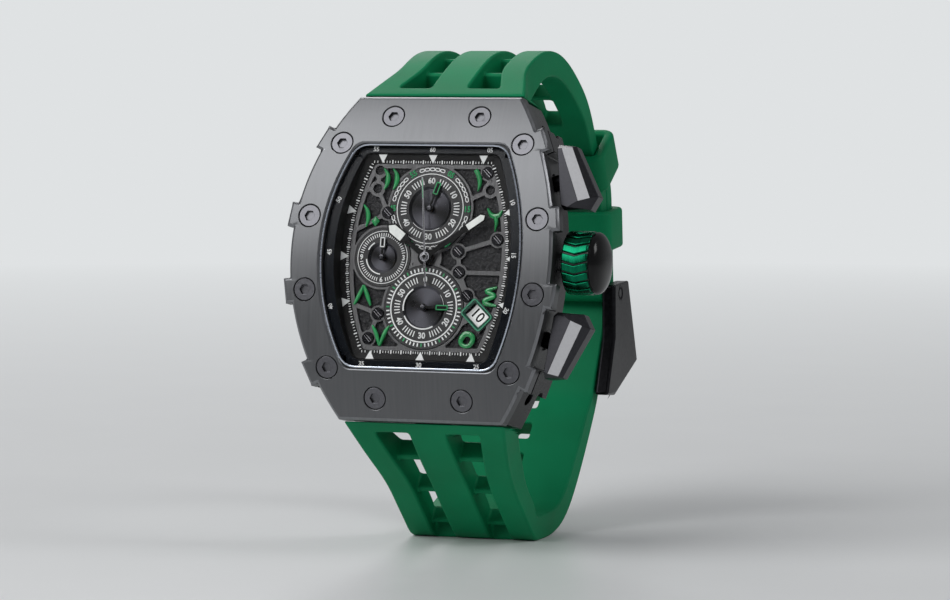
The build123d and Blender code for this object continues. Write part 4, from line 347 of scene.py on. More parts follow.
# Grey steel of the chrono hand and its hub, also used for the painted glints on the dial screws' slots.
slot_edge = brushed_metal("slot_edge", (120, 120, 124), (150, 150, 154), 0.3, BRUSH_NONE, 3000.0)
lume_white = matt("lume_white", (228, 232, 228), (246, 248, 244), 0.6, 9000.0, 0.00001, 900.0)
screw_black = brushed_metal("screw_black", (22, 22, 24), (34, 34, 36), 0.3, BRUSH_NONE, 3000.0)
hand_black = matt(
    "hand_black", (3, 3, 4), (7, 7, 8), 0.4, 4000.0, 0.000002, 300.0, Specular_IOR_Level=0.15
)
hub_dark = brushed_metal("hub_dark", (58, 58, 61), (78, 78, 82), 0.22, BRUSH_NONE, 3000.0)
# The date disc's white glows a little: painted light that lifts it out of the shade of its deep window.
date_white = matt(
    "date_white", (232, 234, 232), (244, 245, 243), 0.5, 4000.0, 0.000005, Emission_Color=(0.8, 0.8, 0.8, 1.0),
    Emission_Strength=0.3,
)
brass = brushed_metal("brass", (186, 150, 78), (214, 182, 112), 0.28, BRUSH_NONE, 3000.0)
steel = brushed_metal("steel", (160, 161, 163), (190, 191, 193), 0.28, BRUSH_ACROSS, 2600.0)
plastic_ivory = matt("plastic_ivory", (196, 192, 178), (210, 206, 192), 0.5)
board_green = tracked("board_green", (10, 62, 38), (28, 104, 62), 900.0)
copper_wire = windings("copper_wire", (150, 72, 34), (214, 124, 70), tuple(DIAL_UP), 0.09)
crystal_clear = glass("crystal_clear")
buckle_black = brushed_metal(
    "buckle_black", (28, 28, 30), (40, 40, 43), 0.34, BRUSH_NONE, 1800.0, bump=0.000001
)
back_steel = brushed_metal("back_steel", (52, 52, 55), (72, 72, 76), 0.3, (1.0, 0.05, 0.05), 2200.0)

COUNTERS = {"top": ((0.0, 7.5), 6.5), "left": ((-7.2, -0.1), 4.5), "bottom": ((0.0, -7.65), 6.4)}
# The dishes carry a painted sheen in (72, 72, 78).
counter_finish = {
    name: turned(
        f"counter_{name}_black", (16, 16, 18), (30, 30, 33), 0.42, spot, 0.16, 0.53 * radius, (72, 72, 78),
        0.000003, 0.15,
    )
    for name, (spot, radius) in COUNTERS.items()
}


def silicone(name):
    """Moulded silicone: even green, a faint skin grain and slight clouding."""
    f = Finish(name)
    skin = f.noise(5200.0, 2.0, 0.6)
    cloud = f.noise(45.0, 3.0)
    tone = f.span(cloud, 0.35, 0.65, 0.0, 1.0)
    return f.done(
        Base_Color=f.blend(tone, rgb((3, 108, 68)), rgb((10, 126, 82))),
        Roughness=f.span(skin * 0.4 + cloud * 0.6, 0.3, 0.7, 0.48, 0.62),
        Specular_IOR_Level=0.1,
        Normal=f.bump(skin, 0.000012),
    )


strap_green = silicone("strap_green")


# ---------------------------------------------------------------- mesh building
SLOTS = {row["node"]: row["material_slot"] for row in frame["record"]["subparts"]}
WELD, FLAT, SHADING_WEIGHT = 2e-6, 0.4, 80


def add_piece(name, mesh, body, *finishes, place=None, stands_for=None, slot=None):
    """Places a local mesh in the row frame, gives it its finishes and lets it ride on a body."""
    if place is not None:
        mesh.transform(place)
    painted = [face.material_index for face in mesh.polygons]
    mesh.materials.clear()
    for finish in finishes:
        mesh.materials.append(finish)
    for face, index in zip(mesh.polygons, painted):
        face.material_index = min(index, len(finishes) - 1)
    piece = bpy.data.objects.new(name, mesh)
    bpy.context.scene.collection.objects.link(piece)
    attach(piece, body)
    if stands_for:
        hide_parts(stands_for)
    return piece


def loft(bm, rows, closed=False, caps=False):
    """Faces between rings of vertices: closed joins the last ring to the first, caps fills both ends."""
    faces = []
    for first, second in zip(rows, rows[1:] + rows[:1] if closed else rows[1:]):
        size = max(len(first), len(second))
        for k in range(size):
            n = (k + 1) % size
            corners = [ring[i % len(ring)] for ring, i in ((first, k), (first, n), (second, n), (second, k))]
            faces.append(bm.faces.new(tuple(dict.fromkeys(corners))))
    if caps:
        bm.faces.new(rows[0])
        bm.faces.new(rows[-1])
    return faces


def lathe(bm, profile, steps, spot=(0.0, 0.0)):
    """Rings of vertices, one for each (radius, height) of a profile, about local Z at a spot."""
    return [
        [
            bm.verts.new((spot[0] + r * math.cos(a), spot[1] + r * math.sin(a), z))
            for a in (2 * math.pi * s / steps for s in range(steps if r else 1))
        ]
        for r, z in profile
    ]


def to_mesh(bm, name, outwards=True):
    """Finished mesh of a bmesh, with its faces turned outwards."""
    if outwards:
        bmesh.ops.recalc_face_normals(bm, faces=bm.faces)
    mesh = bpy.data.meshes.new(name)
    bm.to_mesh(mesh)
    bm.free()
    return mesh


def smooth(piece, sharp):
    """Smooth shading on a piece but for edges sharper than an angle."""
    piece.data.shade_smooth()
    piece.data.set_sharp_from_angle(angle=math.radians(sharp))
    return piece


def soften(piece, width, segments=2, angle=32.0, sharp=62.0):
    """Small rounded edges on a piece, and shading that follows them."""
    bevel = piece.modifiers.new("edges", "BEVEL")
    bevel.width = width * MM
    bevel.segments = segments
    bevel.limit_method = "ANGLE"
    bevel.angle_limit = math.radians(angle)
    bevel.use_clamp_overlap = False
    bevel.miter_outer = "MITER_ARC"
    weighted = piece.modifiers.new("shading", "WEIGHTED_NORMAL")
    weighted.keep_sharp = True
    weighted.weight = SHADING_WEIGHT
    return smooth(piece, sharp)


def rounded_copy(node, width, *finishes, segments=2, painter=None):
    """A CAD node's shape again with real rounded edges, in the node's place."""
    source = nodes[node]
    bm = bmesh.new()
    bm.from_mesh(source.data)
    bmesh.ops.remove_doubles(bm, verts=bm.verts, dist=WELD)
    bmesh.ops.dissolve_limit(bm, angle_limit=math.radians(FLAT), verts=bm.verts, edges=bm.edges)
    if painter:
        for face in bm.faces:
            face.material_index = painter(face)
    mesh = to_mesh(bm, node, outwards=False)
    for attribute in [a.name for a in mesh.attributes if a.name.startswith("custom_normal")]:
        mesh.attributes.remove(mesh.attributes[attribute])
    piece = add_piece(
        node + "_finished", mesh, source.parent.name.split(":")[1], *finishes, stands_for=node, slot=SLOTS[node]
    )
    return soften(piece, width, segments)


def paint(finish, *names):
    """Gives CAD nodes a finish."""
    for name in names:
        for slot in nodes[name].material_slots:
            slot.link = "OBJECT"
            slot.material = finish


def thicken(bm, faces, thickness):
    """Draws flat faces out backwards to a thickness."""
    drawn = bmesh.ops.extrude_face_region(bm, geom=faces)["geom"]
    low = [v for v in drawn if isinstance(v, bmesh.types.BMVert)]
    bmesh.ops.translate(bm, verts=low, vec=(0.0, 0.0, -thickness))


def slab(bm, outline, front, thickness):
    """Flat shape between two depths of the dial."""
    top = [bm.verts.new((x, y, -front)) for x, y in outline]
    thicken(bm, [bm.faces.new(top)], thickness)


def hoop(bm, spot, inner, outer, front, thickness, start=0.0, sweep=360.0):
    """Flat ring, or an arc of one from an angle clockwise of 12."""
    whole = sweep >= 360.0
    steps = max(6, int(sweep * outer / 20.0) + 8)
    rows = []
    for step in range(steps if whole else steps + 1):
        angle = math.radians(start + sweep * step / steps)
        dx, dy = math.sin(angle), math.cos(angle)
        rows.append([
            bm.verts.new((spot[0] + dx * r, spot[1] + dy * r, -z))
            for r, z in ((inner, front), (outer, front), (outer, front + thickness), (inner, front + thickness))
        ])
    loft(bm, rows, closed=whole, caps=not whole)


NUMBER_WIDTH, NUMBER_WELD, NUMBER_CURVE_STEPS = 0.92, 0.002, 3


def numbers(bm, items, height, front, thickness, weight=0.03):
    """Plain printed numbers: items are (text, across, up, turn clockwise)."""
    for text, x, y, turn in items:
        curve = bpy.data.curves.new("number", "FONT")
        curve.body = text
        curve.resolution_u = NUMBER_CURVE_STEPS
        curve.offset = weight
        made = bpy.data.objects.new("number", curve)
        bpy.context.scene.collection.objects.link(made)
        bpy.context.view_layer.update()
        flat = bpy.data.meshes.new_from_object(made.evaluated_get(bpy.context.evaluated_depsgraph_get()))
        low = Vector([min(v.co[i] for v in flat.vertices) for i in range(3)])
        high = Vector([max(v.co[i] for v in flat.vertices) for i in range(3)])
        size = height / (high.y - low.y)
        centre = (low + high) / 2
        fit = (
            Matrix.Translation((x, y, -front))
            @ Matrix.Rotation(-math.radians(turn), 4, "Z")
            @ Matrix.Diagonal((size * NUMBER_WIDTH, size, 1.0, 1.0))
            @ Matrix.Translation((-centre.x, -centre.y, 0.0))
        )
        flat.transform(fit)
        part = bmesh.new()
        part.from_mesh(flat)
        bmesh.ops.remove_doubles(part, verts=part.verts, dist=height * NUMBER_WELD)
        thicken(part, part.faces[:], thickness)
        solid = to_mesh(part, "solid")
        bm.from_mesh(solid)
        bpy.data.meshes.remove(solid)
        bpy.data.objects.remove(made)
        bpy.data.curves.remove(curve)


# ---------------------------------------------------------------- geometry nodes
class Recipe:
    """A Geometry Nodes tree under construction."""

    def __init__(self, name):
        self.tree = bpy.data.node_groups.new(name, "GeometryNodeTree")
        self.tree.interface.new_socket(name="Geometry", in_out="INPUT", socket_type="NodeSocketGeometry")
        self.tree.interface.new_socket(name="Geometry", in_out="OUTPUT", socket_type="NodeSocketGeometry")
        self.entry = self.tree.nodes.new("NodeGroupInput")

    def takes(self, name, kind, default):
        made = self.tree.interface.new_socket(name=name, in_out="INPUT", socket_type=kind)
        if default is not None:
            made.default_value = default

    def given(self, name):
        return self.entry.outputs[name]

    def node(self, kind, settings=None, values=None):
        made = self.tree.nodes.new(kind)
        for key, value in (settings or {}).items():
            setattr(made, key, value)
        for key, value in (values or {}).items():
            if isinstance(value, bpy.types.NodeSocket):
                self.tree.links.new(value, made.inputs[key])
            else:
                made.inputs[key].default_value = value
        return made

    def sum(self, operation, first, second):
        return self.node("ShaderNodeMath", {"operation": operation}, {0: first, 1: second}).outputs[0]

    def closes(self, geometry):
        """Ends the tree with a geometry in the given finish."""
        values = {"Geometry": geometry, "Material": self.given("Finish")}
        painted = self.node("GeometryNodeSetMaterial", {}, values)
        exit_node = self.tree.nodes.new("NodeGroupOutput")
        self.tree.links.new(painted.outputs[0], exit_node.inputs[0])
        return self.tree


def ring_recipe():
    """Marks round a circle: only those whose number, within each period, lies between two counts."""
    r = Recipe("marks_round_a_ring")
    for name, kind, default in (
        ("Mark", "NodeSocketObject", None), ("Count", "NodeSocketInt", 60), ("Radius", "NodeSocketFloat", 1.0),
        ("Period", "NodeSocketInt", 1), ("From", "NodeSocketInt", 0), ("To", "NodeSocketInt", 0),
        ("Start Turn", "NodeSocketFloat", 0.0), ("Finish", "NodeSocketMaterial", None),
    ):
        r.takes(name, kind, default)
    ring = r.node("GeometryNodeMeshCircle", {}, {"Vertices": r.given("Count"), "Radius": r.given("Radius")})
    index = r.node("GeometryNodeInputIndex").outputs[0]
    place = r.sum("MODULO", index, r.given("Period"))
    over, under = (
        r.node("FunctionNodeCompare", {"data_type": "FLOAT", "operation": test}, {0: place, 1: r.given(end)})
        for test, end in (("GREATER_EQUAL", "From"), ("LESS_EQUAL", "To"))
    )
    both = r.node("FunctionNodeBooleanMath", {"operation": "AND"}, {0: over.outputs[0], 1: under.outputs[0]})
    step = r.sum("DIVIDE", 2 * math.pi, r.given("Count"))
    angle = r.sum("SUBTRACT", r.sum("MULTIPLY", index, step), math.pi / 2)
    turn = r.node("ShaderNodeCombineXYZ", {}, {"Z": angle})
    mark = r.node("GeometryNodeObjectInfo", {}, {"Object": r.given("Mark")})
    placed = r.node(
        "GeometryNodeInstanceOnPoints", {},
        {"Points": ring.outputs[0], "Selection": both.outputs[0], "Instance": mark.outputs["Geometry"],
         "Rotation": turn.outputs[0]},
    )
    real = r.node("GeometryNodeRealizeInstances", {}, {0: placed.outputs[0]})
    spin = r.node("ShaderNodeCombineXYZ", {}, {"Z": r.given("Start Turn")})
    turned_all = r.node("GeometryNodeTransform", {}, {"Geometry": real.outputs[0], "Rotation": spin.outputs[0]})
    return r.closes(turned_all.outputs[0])


def points_recipe():
    """Marks on given points, each turned by the point's own value."""
    r = Recipe("marks_on_points")
    r.takes("Mark", "NodeSocketObject", None)
    r.takes("Finish", "NodeSocketMaterial", None)
    turn = r.node("GeometryNodeInputNamedAttribute", {"data_type": "FLOAT_VECTOR"}, {"Name": "turn"})
    mark = r.node("GeometryNodeObjectInfo", {}, {"Object": r.given("Mark")})
    placed = r.node(
        "GeometryNodeInstanceOnPoints", {},
        {"Points": r.given("Geometry"), "Instance": mark.outputs["Geometry"], "Rotation": turn.outputs[0]},
    )
    real = r.node("GeometryNodeRealizeInstances", {}, {0: placed.outputs[0]})
    return r.closes(real.outputs[0])


RING = ring_recipe()
POINTS = points_recipe()


def baked(base, tree, inputs):
    """Plain mesh of a tree's result on a base mesh."""
    carrier = bpy.data.objects.new("carrier", base)
    bpy.context.scene.collection.objects.link(carrier)
    modifier = carrier.modifiers.new("recipe", "NODES")
    modifier.node_group = tree
    for item in tree.interface.items_tree:
        if item.item_type == "SOCKET" and item.in_out == "INPUT" and item.name in inputs:
            modifier[item.identifier] = inputs[item.name]
    bpy.context.view_layer.update()
    graph = bpy.context.evaluated_depsgraph_get()
    result = bpy.data.meshes.new_from_object(carrier.evaluated_get(graph), depsgraph=graph)
    bpy.data.objects.remove(carrier)
    return result


def mark_object(mesh):
    """Object that a recipe repeats; it is taken away once the marks are made."""
    made = bpy.data.objects.new("mark", mesh)
    bpy.context.scene.collection.objects.link(made)
    return made


def bar(left, low, right, high):
    """Outline of an upright rectangle."""
    return [(left, low), (right, low), (right, high), (left, high)]


def bar_mark(width, length, thickness):
    """Small bar, its length along local Y and its front at height 0."""
    bm = bmesh.new()
    slab(bm, bar(-width / 2, -length / 2, width / 2, length / 2), 0.0, thickness)
    return to_mesh(bm, "bar")


LINK_STEPS = 16


def link_mark(width, length, line, thickness):
    """Outlined link with rounded ends, long along local X."""
    bm = bmesh.new()
    outer, rows = length / 2, []
    for index in range(LINK_STEPS):
        angle = 2 * math.pi * index / LINK_STEPS
        dx, dy = math.cos(angle), math.sin(angle)
        cx = math.copysign(width / 2 - outer, dx) if abs(dx) > 1e-6 else 0.0
        rows.append([
            bm.verts.new((cx + dx * r, dy * r, -z))
            for r, z in ((outer - line, 0.0), (outer, 0.0), (outer, thickness), (outer - line, thickness))
        ])
    loft(bm, rows, closed=True)
    return to_mesh(bm, "link")


def ring_marks(mark_mesh, count, radius, finish, period=1, start=0, end=0, turn=0.0):
    """Marks round a circle about the local origin, number 0 at 12 o'clock and counted clockwise."""
    mark = mark_object(mark_mesh)
    result = baked(
        bpy.data.meshes.new("base"), RING,
        {"Mark": mark, "Count": count, "Radius": radius, "Period": period, "From": start, "To": end,
         "Start Turn": math.pi / 2 - math.radians(turn), "Finish": finish},
    )
    bpy.data.objects.remove(mark)
    return result


def point_marks(mark_mesh, spots, finish):
    """Marks at (x, y, z, turn counter-clockwise) places."""
    base = bpy.data.meshes.new("base")
    base.from_pydata([s[:3] for s in spots], [], [])
    turns = base.attributes.new("turn", "FLOAT_VECTOR", "POINT")
    for index, spot in enumerate(spots):
        turns.data[index].vector = (0.0, 0.0, spot[3])
    mark = mark_object(mark_mesh)
    result = baked(base, POINTS, {"Mark": mark, "Finish": finish})
    bpy.data.objects.remove(mark)
    return result


def moved(mesh, spot, front):
    """The same mesh at a spot and depth of the dial."""
    mesh.transform(Matrix.Translation((spot[0], spot[1], -front)))
    return mesh


def joined(name, meshes):
    """One mesh of several, all in one frame."""
    bm = bmesh.new()
    for mesh in meshes:
        bm.from_mesh(mesh)
    return to_mesh(bm, name, outwards=False)


def dial_piece(name, mesh, body, *finishes, slot, stands_for=None):
    """Piece whose mesh is drawn in the dial's own frame."""
    return add_piece(name, mesh, body, *finishes, place=DIAL_PLACE, stands_for=stands_for, slot=slot)


# ---------------------------------------------------------------- case, bezel, crown, pushers
POLISHED_LEAN, POLISHED_SIDE, POLISHED_AREA = (0.5, 0.88), 0.95, 4.5e-5


def bezel_painter(face):
    """The narrow slanting faces along the bezel's outer edge and opening are polished, and painted lighter than
    the bezel as a highlight.
    """
    slanting = POLISHED_LEAN[0] < face.normal.dot(DIAL_OUT) < POLISHED_LEAN[1]
    return 1 if slanting and abs(face.normal.x) < POLISHED_SIDE and face.calc_area() < POLISHED_AREA else 0


rounded_copy("bezel", 0.1, satin_gunmetal, polished_edge, painter=bezel_painter)
rounded_copy("bezel_screws", 0.05, screw_finish)
rounded_copy("case_middle", 0.12, case_black)
rounded_copy("case_back", 0.15, back_steel)
rounded_copy("case_back_screws", 0.05, screw_finish)
paint(rubber_black, "bezel_gasket", "crystal_gasket", "case_back_gasket", "crown_gasket")
paint(steel, "strap_pins", "crown_tube", "winding_stem")
paint(case_black, "pusher_tubes", "pusher_spring_upper", "pusher_spring_lower")
paint(crystal_clear, "crystal")

# Corners (across, up) of the upper pusher's cap at each depth, from the facet with the painted highlight in
# front to the back.
OUTER_CORNERS = ((19.6, 17.8), (22.3, 17.55), (26.25, 10.0), (25.1, 7.9), (21.05, 7.9))
CAP_LEVELS = (
    (3.6, ((19.75, 16.9), (20.4, 17.15), (23.5, 9.05), (21.9, 8.05), (20.8, 8.4))),
    (4.65, ((19.62, 17.7), (21.75, 17.4), (25.0, 9.7), (24.4, 7.95), (21.05, 7.7))),
    (5.2, OUTER_CORNERS),
    (7.5, OUTER_CORNERS),
    (8.2, ((19.65, 17.5), (22.0, 17.3), (25.9, 10.0), (24.8, 8.2), (21.15, 8.2))),
)
HIGHLIGHT_FACET = 1
STEM_TURN, STEM_MIDDLE, STEM_RADIUS, STEM_LENGTH = 20.0, (19.6, 4.6, -5.9), 0.7, 8.4


def pusher_cap(sign):
    """Faceted cap of a pusher, one facet painted bright as a lamp's reflection, and the stem behind it; sign is
    1 for the upper one and -1 for the lower.
    """
    bm = bmesh.new()
    rows = [[bm.verts.new((x, sign * y, -depth)) for x, y in corners] for depth, corners in CAP_LEVELS]
    loft(bm, rows, caps=True)[HIGHLIGHT_FACET].material_index = 1
    x, y, z = STEM_MIDDLE
    turn = Matrix.Rotation(math.radians(STEM_TURN * sign), 4, "Z") @ Matrix.Translation((x, y * sign, z))
    bmesh.ops.create_cone(
        bm, cap_ends=True, segments=24, radius1=STEM_RADIUS, radius2=STEM_RADIUS, depth=STEM_LENGTH,
        matrix=turn @ Matrix.Rotation(math.pi / 2, 4, "Y"),
    )
    return to_mesh(bm, "pusher")


for side, sign in (("upper", 1), ("lower", -1)):
    cap = dial_piece(
        f"pusher_{side}_finished", pusher_cap(sign), f"{side}_pusher", pusher_black, pusher_facet,
        stands_for=f"pusher_{side}", slot="case_metal",
    )
    soften(cap, 0.07, 2, 20.0, 30.0)

# The crown's parts are drawn about its axis as local Z, counted from the dial's centre.
CROWN_START, CROWN_RING_LENGTH, CROWN_RADIUS, CROWN_DEPTH = 21.9, 4.35, 4.85, 6.3
CROWN_BORE, DRUM_SINK, DRUM_CHAMFER, DRUM_GAP = 3.76, 0.36, 0.25, 0.05
TREAD_COUNT, TREAD_FRONT_GAP, TREAD_REAR_GAP, TREAD_RAMP = 20, 0.12, 0.15, 0.3
CAP_RADIUS, CAP_END, CAP_EDGE, CAP_PLUG_RADIUS, CAP_PLUG_LENGTH, CAP_FULLNESS = 4.7, 28.1, 0.12, 4.1, 0.6, 0.8
CAP_STEPS = 12
CROWN_PLACE = placing(DIAL_CENTRE - DIAL_OUT * CROWN_DEPTH, DIAL_UP, DIAL_OUT, ACROSS)
DRUM_RADIUS = CROWN_RADIUS - DRUM_SINK


def crown_drum():
    """Drum under the crown's tread, bored to pass over the case's tube; it is painted dark green as shade in the
    grooves between the blocks.
    """
    end = CROWN_START + CROWN_RING_LENGTH - DRUM_GAP
    profile = (
        (CROWN_BORE, CROWN_START), (DRUM_RADIUS - DRUM_CHAMFER, CROWN_START),
        (DRUM_RADIUS, CROWN_START + DRUM_CHAMFER), (DRUM_RADIUS, end), (CROWN_BORE, end),
    )
    bm = bmesh.new()
    loft(bm, lathe(bm, profile, 72), closed=True)
    return to_mesh(bm, "drum")


def crown_tread():
    """Raised chevron blocks round the drum: each row is (place along the axis, shift round it, drop)."""
    pitch = 2 * math.pi * CROWN_RADIUS / TREAD_COUNT
    low, high = CROWN_START + TREAD_FRONT_GAP, CROWN_START + CROWN_RING_LENGTH - TREAD_REAR_GAP
    places = (
        (low, 0.34, 0.16), (low + TREAD_RAMP, 0.24, 0.0), ((low + high) / 2, -0.22, 0.0),
        (high - TREAD_RAMP, 0.24, 0.0), (high, 0.34, 0.16),
    )
    block = bmesh.new()
    rows = []
    for z, shift, drop in places:
        section = (
            (-0.4, DRUM_RADIUS - DRUM_GAP), (-0.38, CROWN_RADIUS - 0.1 - drop), (-0.3, CROWN_RADIUS - drop),
            (0.34, CROWN_RADIUS - drop), (0.42, CROWN_RADIUS - 0.12 - drop), (0.44, DRUM_RADIUS - DRUM_GAP),
        )
        angles = [(u * pitch + shift) / CROWN_RADIUS for u, _ in section]
        rows.append([
            block.verts.new((radius * math.sin(a), radius * math.cos(a) - CROWN_RADIUS, z))
            for a, (_, radius) in zip(angles, section)
        ])
    loft(block, rows, caps=True)
    return ring_marks(to_mesh(block, "block"), TREAD_COUNT, CROWN_RADIUS, crown_ring_green)


def crown_cap():
    """Domed end of the crown, with a closed face inside the ring."""
    start = CROWN_START + CROWN_RING_LENGTH
    rise = CAP_END - start - CAP_EDGE
    profile = [
        (0.0, start - CAP_PLUG_LENGTH), (CAP_PLUG_RADIUS, start - CAP_PLUG_LENGTH), (CAP_PLUG_RADIUS, start),
        (CAP_RADIUS - CAP_EDGE, start), (CAP_RADIUS, start + CAP_EDGE),
    ]
    for step in range(1, CAP_STEPS):
        a = math.pi / 2 * step / CAP_STEPS
        profile.append((CAP_RADIUS * math.cos(a) ** CAP_FULLNESS, start + CAP_EDGE + rise * math.sin(a)))
    bm = bmesh.new()
    loft(bm, lathe(bm, [*profile, (0.0, CAP_END)], 64))
    return to_mesh(bm, "cap")


def crown_piece(name, mesh, finish, slot, stands_for=None):
    """Piece that turns with the crown."""
    return add_piece(name, mesh, "crown_knob", finish, place=CROWN_PLACE, stands_for=stands_for, slot=slot)


smooth(crown_piece("crown_cap", crown_cap(), polished_black, "crown_black", "crown"), 40.0)
soften(crown_piece("crown_drum", crown_drum(), crown_groove, "crown_green", "crown_ring"), 0.05)
soften(crown_piece("crown_tread", crown_tread(), crown_ring_green, "crown_green"), 0.05, 1)


# ---------------------------------------------------------------- dial
def outline_of(half_width, half_height, end_half_width, steps=24):
    """Tonneau outline with straight ends and bowed sides, counter-clockwise from the upper right end."""
    bow = half_width - end_half_width
    radius = (bow**2 + half_height**2) / (2 * bow)
    centre = half_width - radius
    reach = math.asin(half_height / radius)
    right = [
        (centre + radius * math.cos(a), radius * math.sin(a))
        for a in (reach - 2 * reach * i / steps for i in range(steps + 1))
    ]
    left = [(-x, -y) for x, y in right]
    return [*right, *left]


def corner_rounded(points, size):
    """The four corners of a tonneau outline cut to short arcs."""
    count = len(points)
    half = count // 2
    result = []
    for index, point in enumerate(points):
        if index in (0, half - 1, half, count - 1):
            before, after = Vector(points[index - 1]), Vector(points[(index + 1) % count])
            corner = Vector(point)
            start = corner + (before - corner).normalized() * size
            end = corner + (after - corner).normalized() * size
            for step in range(5):
                t = step / 4
                spot = start * (1 - t) ** 2 + corner * 2 * t * (1 - t) + end * t**2
                result.append(tuple(spot))
        else:
            result.append(point)
    return result


def case_drop(y):
    """How far the case's curved front falls back at a height on the dial."""
    return CASE_RADIUS - math.sqrt(CASE_RADIUS**2 - y * y)


def tonneau_rings(bm, levels, curved):
    """Tonneau outlines, one for each (half width, half height, end half width, corner, depth) of a list.

    Those whose depth is less than curved follow the case's curved front.
    """
    rows = []
    for half_width, half_height, end, corner, depth in levels:
        rows.append([
            bm.verts.new((x, y, -depth - (case_drop(y) if depth < curved else 0.0)))
            for x, y in corner_rounded(outline_of(half_width, half_height, end), corner)
        ])
    return rows


def flange_mesh():
    """Chapter ring, wall and top band of the flange in one lofted shell."""
    levels = (
        (12.6, 14.35, 9.4, 0.6, 3.6), (12.6, 14.35, 9.4, 0.6, 3.5), (13.95, 15.7, 10.5, 0.7, 3.34),
        (14.02, 15.76, 10.56, 0.8, 3.25), (14.15, 15.87, 10.65, 0.9, 1.12), (14.22, 15.94, 10.7, 0.9, 1.02),
        (16.12, 17.22, 11.95, 1.6, 0.96), (16.12, 17.22, 11.95, 1.6, 3.6),
    )
    bm = bmesh.new()
    rows = tonneau_rings(bm, levels, FRONT_BAND)
    count = len(rows[0])
    for face in loft(bm, rows, closed=True)[BAND_LEVEL * count:(BAND_LEVEL + 1) * count]:
        face.material_index = 1
    return to_mesh(bm, "flange")


def crystal_edge_mesh():
    """Polished bevel round the crystal's front edge, lying on its curve, finished bright bluish as a painted
    glint of the glass edge.
    """
    levels = ((16.12, 17.24, 11.96, 1.9, 0.12), (15.98, 17.1, 11.86, 1.8, 0.05), (15.88, 17.0, 11.8, 1.76, 0.12))
    bm = bmesh.new()
    loft(bm, tonneau_rings(bm, levels, FRONT_BAND), closed=True)
    return to_mesh(bm, "crystal_edge")


CASE_RADIUS, FRONT_BAND, BAND_LEVEL = 67.4, 1.2, 5
flange_piece = dial_piece(
    "flange_finished", flange_mesh(), "case", flange_black, flange_band, stands_for="flange", slot="flange_black"
)
soften(flange_piece, 0.06, 2, 40.0)
# The crystal's bevel carries the painted glint of the glass edge.
dial_piece("crystal_edge", crystal_edge_mesh(), "case", crystal_rim, slot="crystal_glass")


def edge_point(angle, half_width, half_height, end):
    """Where a ray clockwise from 12 meets a tonneau outline, and the outline's normal there."""
    points = outline_of(half_width, half_height, end, EDGE_STEPS)
    dx, dy = math.sin(angle), math.cos(angle)
    for (x1, y1), (x2, y2) in zip(points, points[1:] + points[:1]):
        cross = dx * (y2 - y1) - dy * (x2 - x1)
        if abs(cross) < NEARLY_NONE:
            continue
        reach = (x1 * (y2 - y1) - y1 * (x2 - x1)) / cross
        share = (x1 * dy - y1 * dx) / cross
        if reach > 0 and 0 <= share <= 1:
            normal = Vector((y1 - y2, x2 - x1)).normalized()
            spot = Vector((reach * dx, reach * dy))
            return spot, (normal if normal.dot(spot) > 0 else -normal)
    raise ValueError("the ray misses the outline")


EDGE_STEPS, NEARLY_NONE = 96, 1e-9
PRINT_RISE = 0.05
TRACK_TICKS, TRACK_OUTLINE, TRACK_DEPTH = 240, (12.86, 14.61, 9.6), 3.32
ARROW_OUTLINE, ARROW_RISE, ARROW_HALF_WIDTH = (12.66, 14.41, 9.45), 1.32, 0.68
ARROW_TIP_DEPTH, ARROW_BASE_DEPTH, ARROW_THICKNESS = 3.44, 3.28, 0.08
BAND_PRINT_DEPTH, BAND_NUMBER_HEIGHT = 0.93, 0.76

# Where the photo shows an hour mark off its even place, its angle clockwise from 12.
ARROW_ANGLES = {1: 29.5, 5: 150.5, 7: 209.5, 11: 330.5}

# Small numbers on the flange's band: across, up, turn clockwise.
BAND_NUMBERS = {
    "60": (0.0, 16.5, 0.0), "05": (9.25, 16.5, 0.0), "10": (13.95, 8.3, 62.0), "15": (14.8, 0.2, 90.0),
    "20": (13.95, -8.1, 118.0), "25": (9.25, -16.5, 0.0), "30": (0.0, -16.5, 0.0), "35": (-9.3, -16.5, 0.0),
    "40": (-14.35, -8.1, -118.0), "45": (-14.95, 0.2, -90.0), "50": (-14.2, 8.4, -62.0), "55": (-9.2, 16.5, 0.0),
}


def chapter_marks():
    """Minute ticks, pointed hour marks and small plain numbers of the flange."""
    ticks, fine = [], []
    for tick in range(TRACK_TICKS):
        if tick % 20 == 0:
            continue
        spot, normal = edge_point(2 * math.pi * tick / TRACK_TICKS, *TRACK_OUTLINE)
        turn = math.atan2(normal.y, normal.x) - math.pi / 2
        (ticks if tick % 4 == 0 else fine).append((spot.x, spot.y, -TRACK_DEPTH, turn))
    parts = [
        point_marks(bar_mark(0.19, 0.56, PRINT_RISE), ticks, print_white),
        point_marks(bar_mark(0.1, 0.34, PRINT_RISE), fine, print_white),
    ]
    arrows = bmesh.new()
    for hour in range(12):
        tip, normal = edge_point(math.radians(ARROW_ANGLES.get(hour, 30.0 * hour)), *ARROW_OUTLINE)
        base, side = tip + normal * ARROW_RISE, Vector((-normal.y, normal.x)) * ARROW_HALF_WIDTH
        corners = (
            (tip, ARROW_TIP_DEPTH), (base + side, ARROW_BASE_DEPTH), (base - side, ARROW_BASE_DEPTH),
        )
        rows = [
            [arrows.verts.new((c.x, c.y, -depth - back)) for c, depth in corners]
            for back in (0.0, ARROW_THICKNESS)
        ]
        loft(arrows, rows, caps=True)
    parts.append(to_mesh(arrows, "arrows"))
    for text, (x, y, turn) in BAND_NUMBERS.items():
        bm = bmesh.new()
        numbers(bm, [(text, x, y, turn)], BAND_NUMBER_HEIGHT, BAND_PRINT_DEPTH + case_drop(y), PRINT_RISE)
        parts.append(to_mesh(bm, "small"))
    return joined("chapter", parts)


dial_piece("flange_print", chapter_marks(), "case", print_white, slot="white_print")

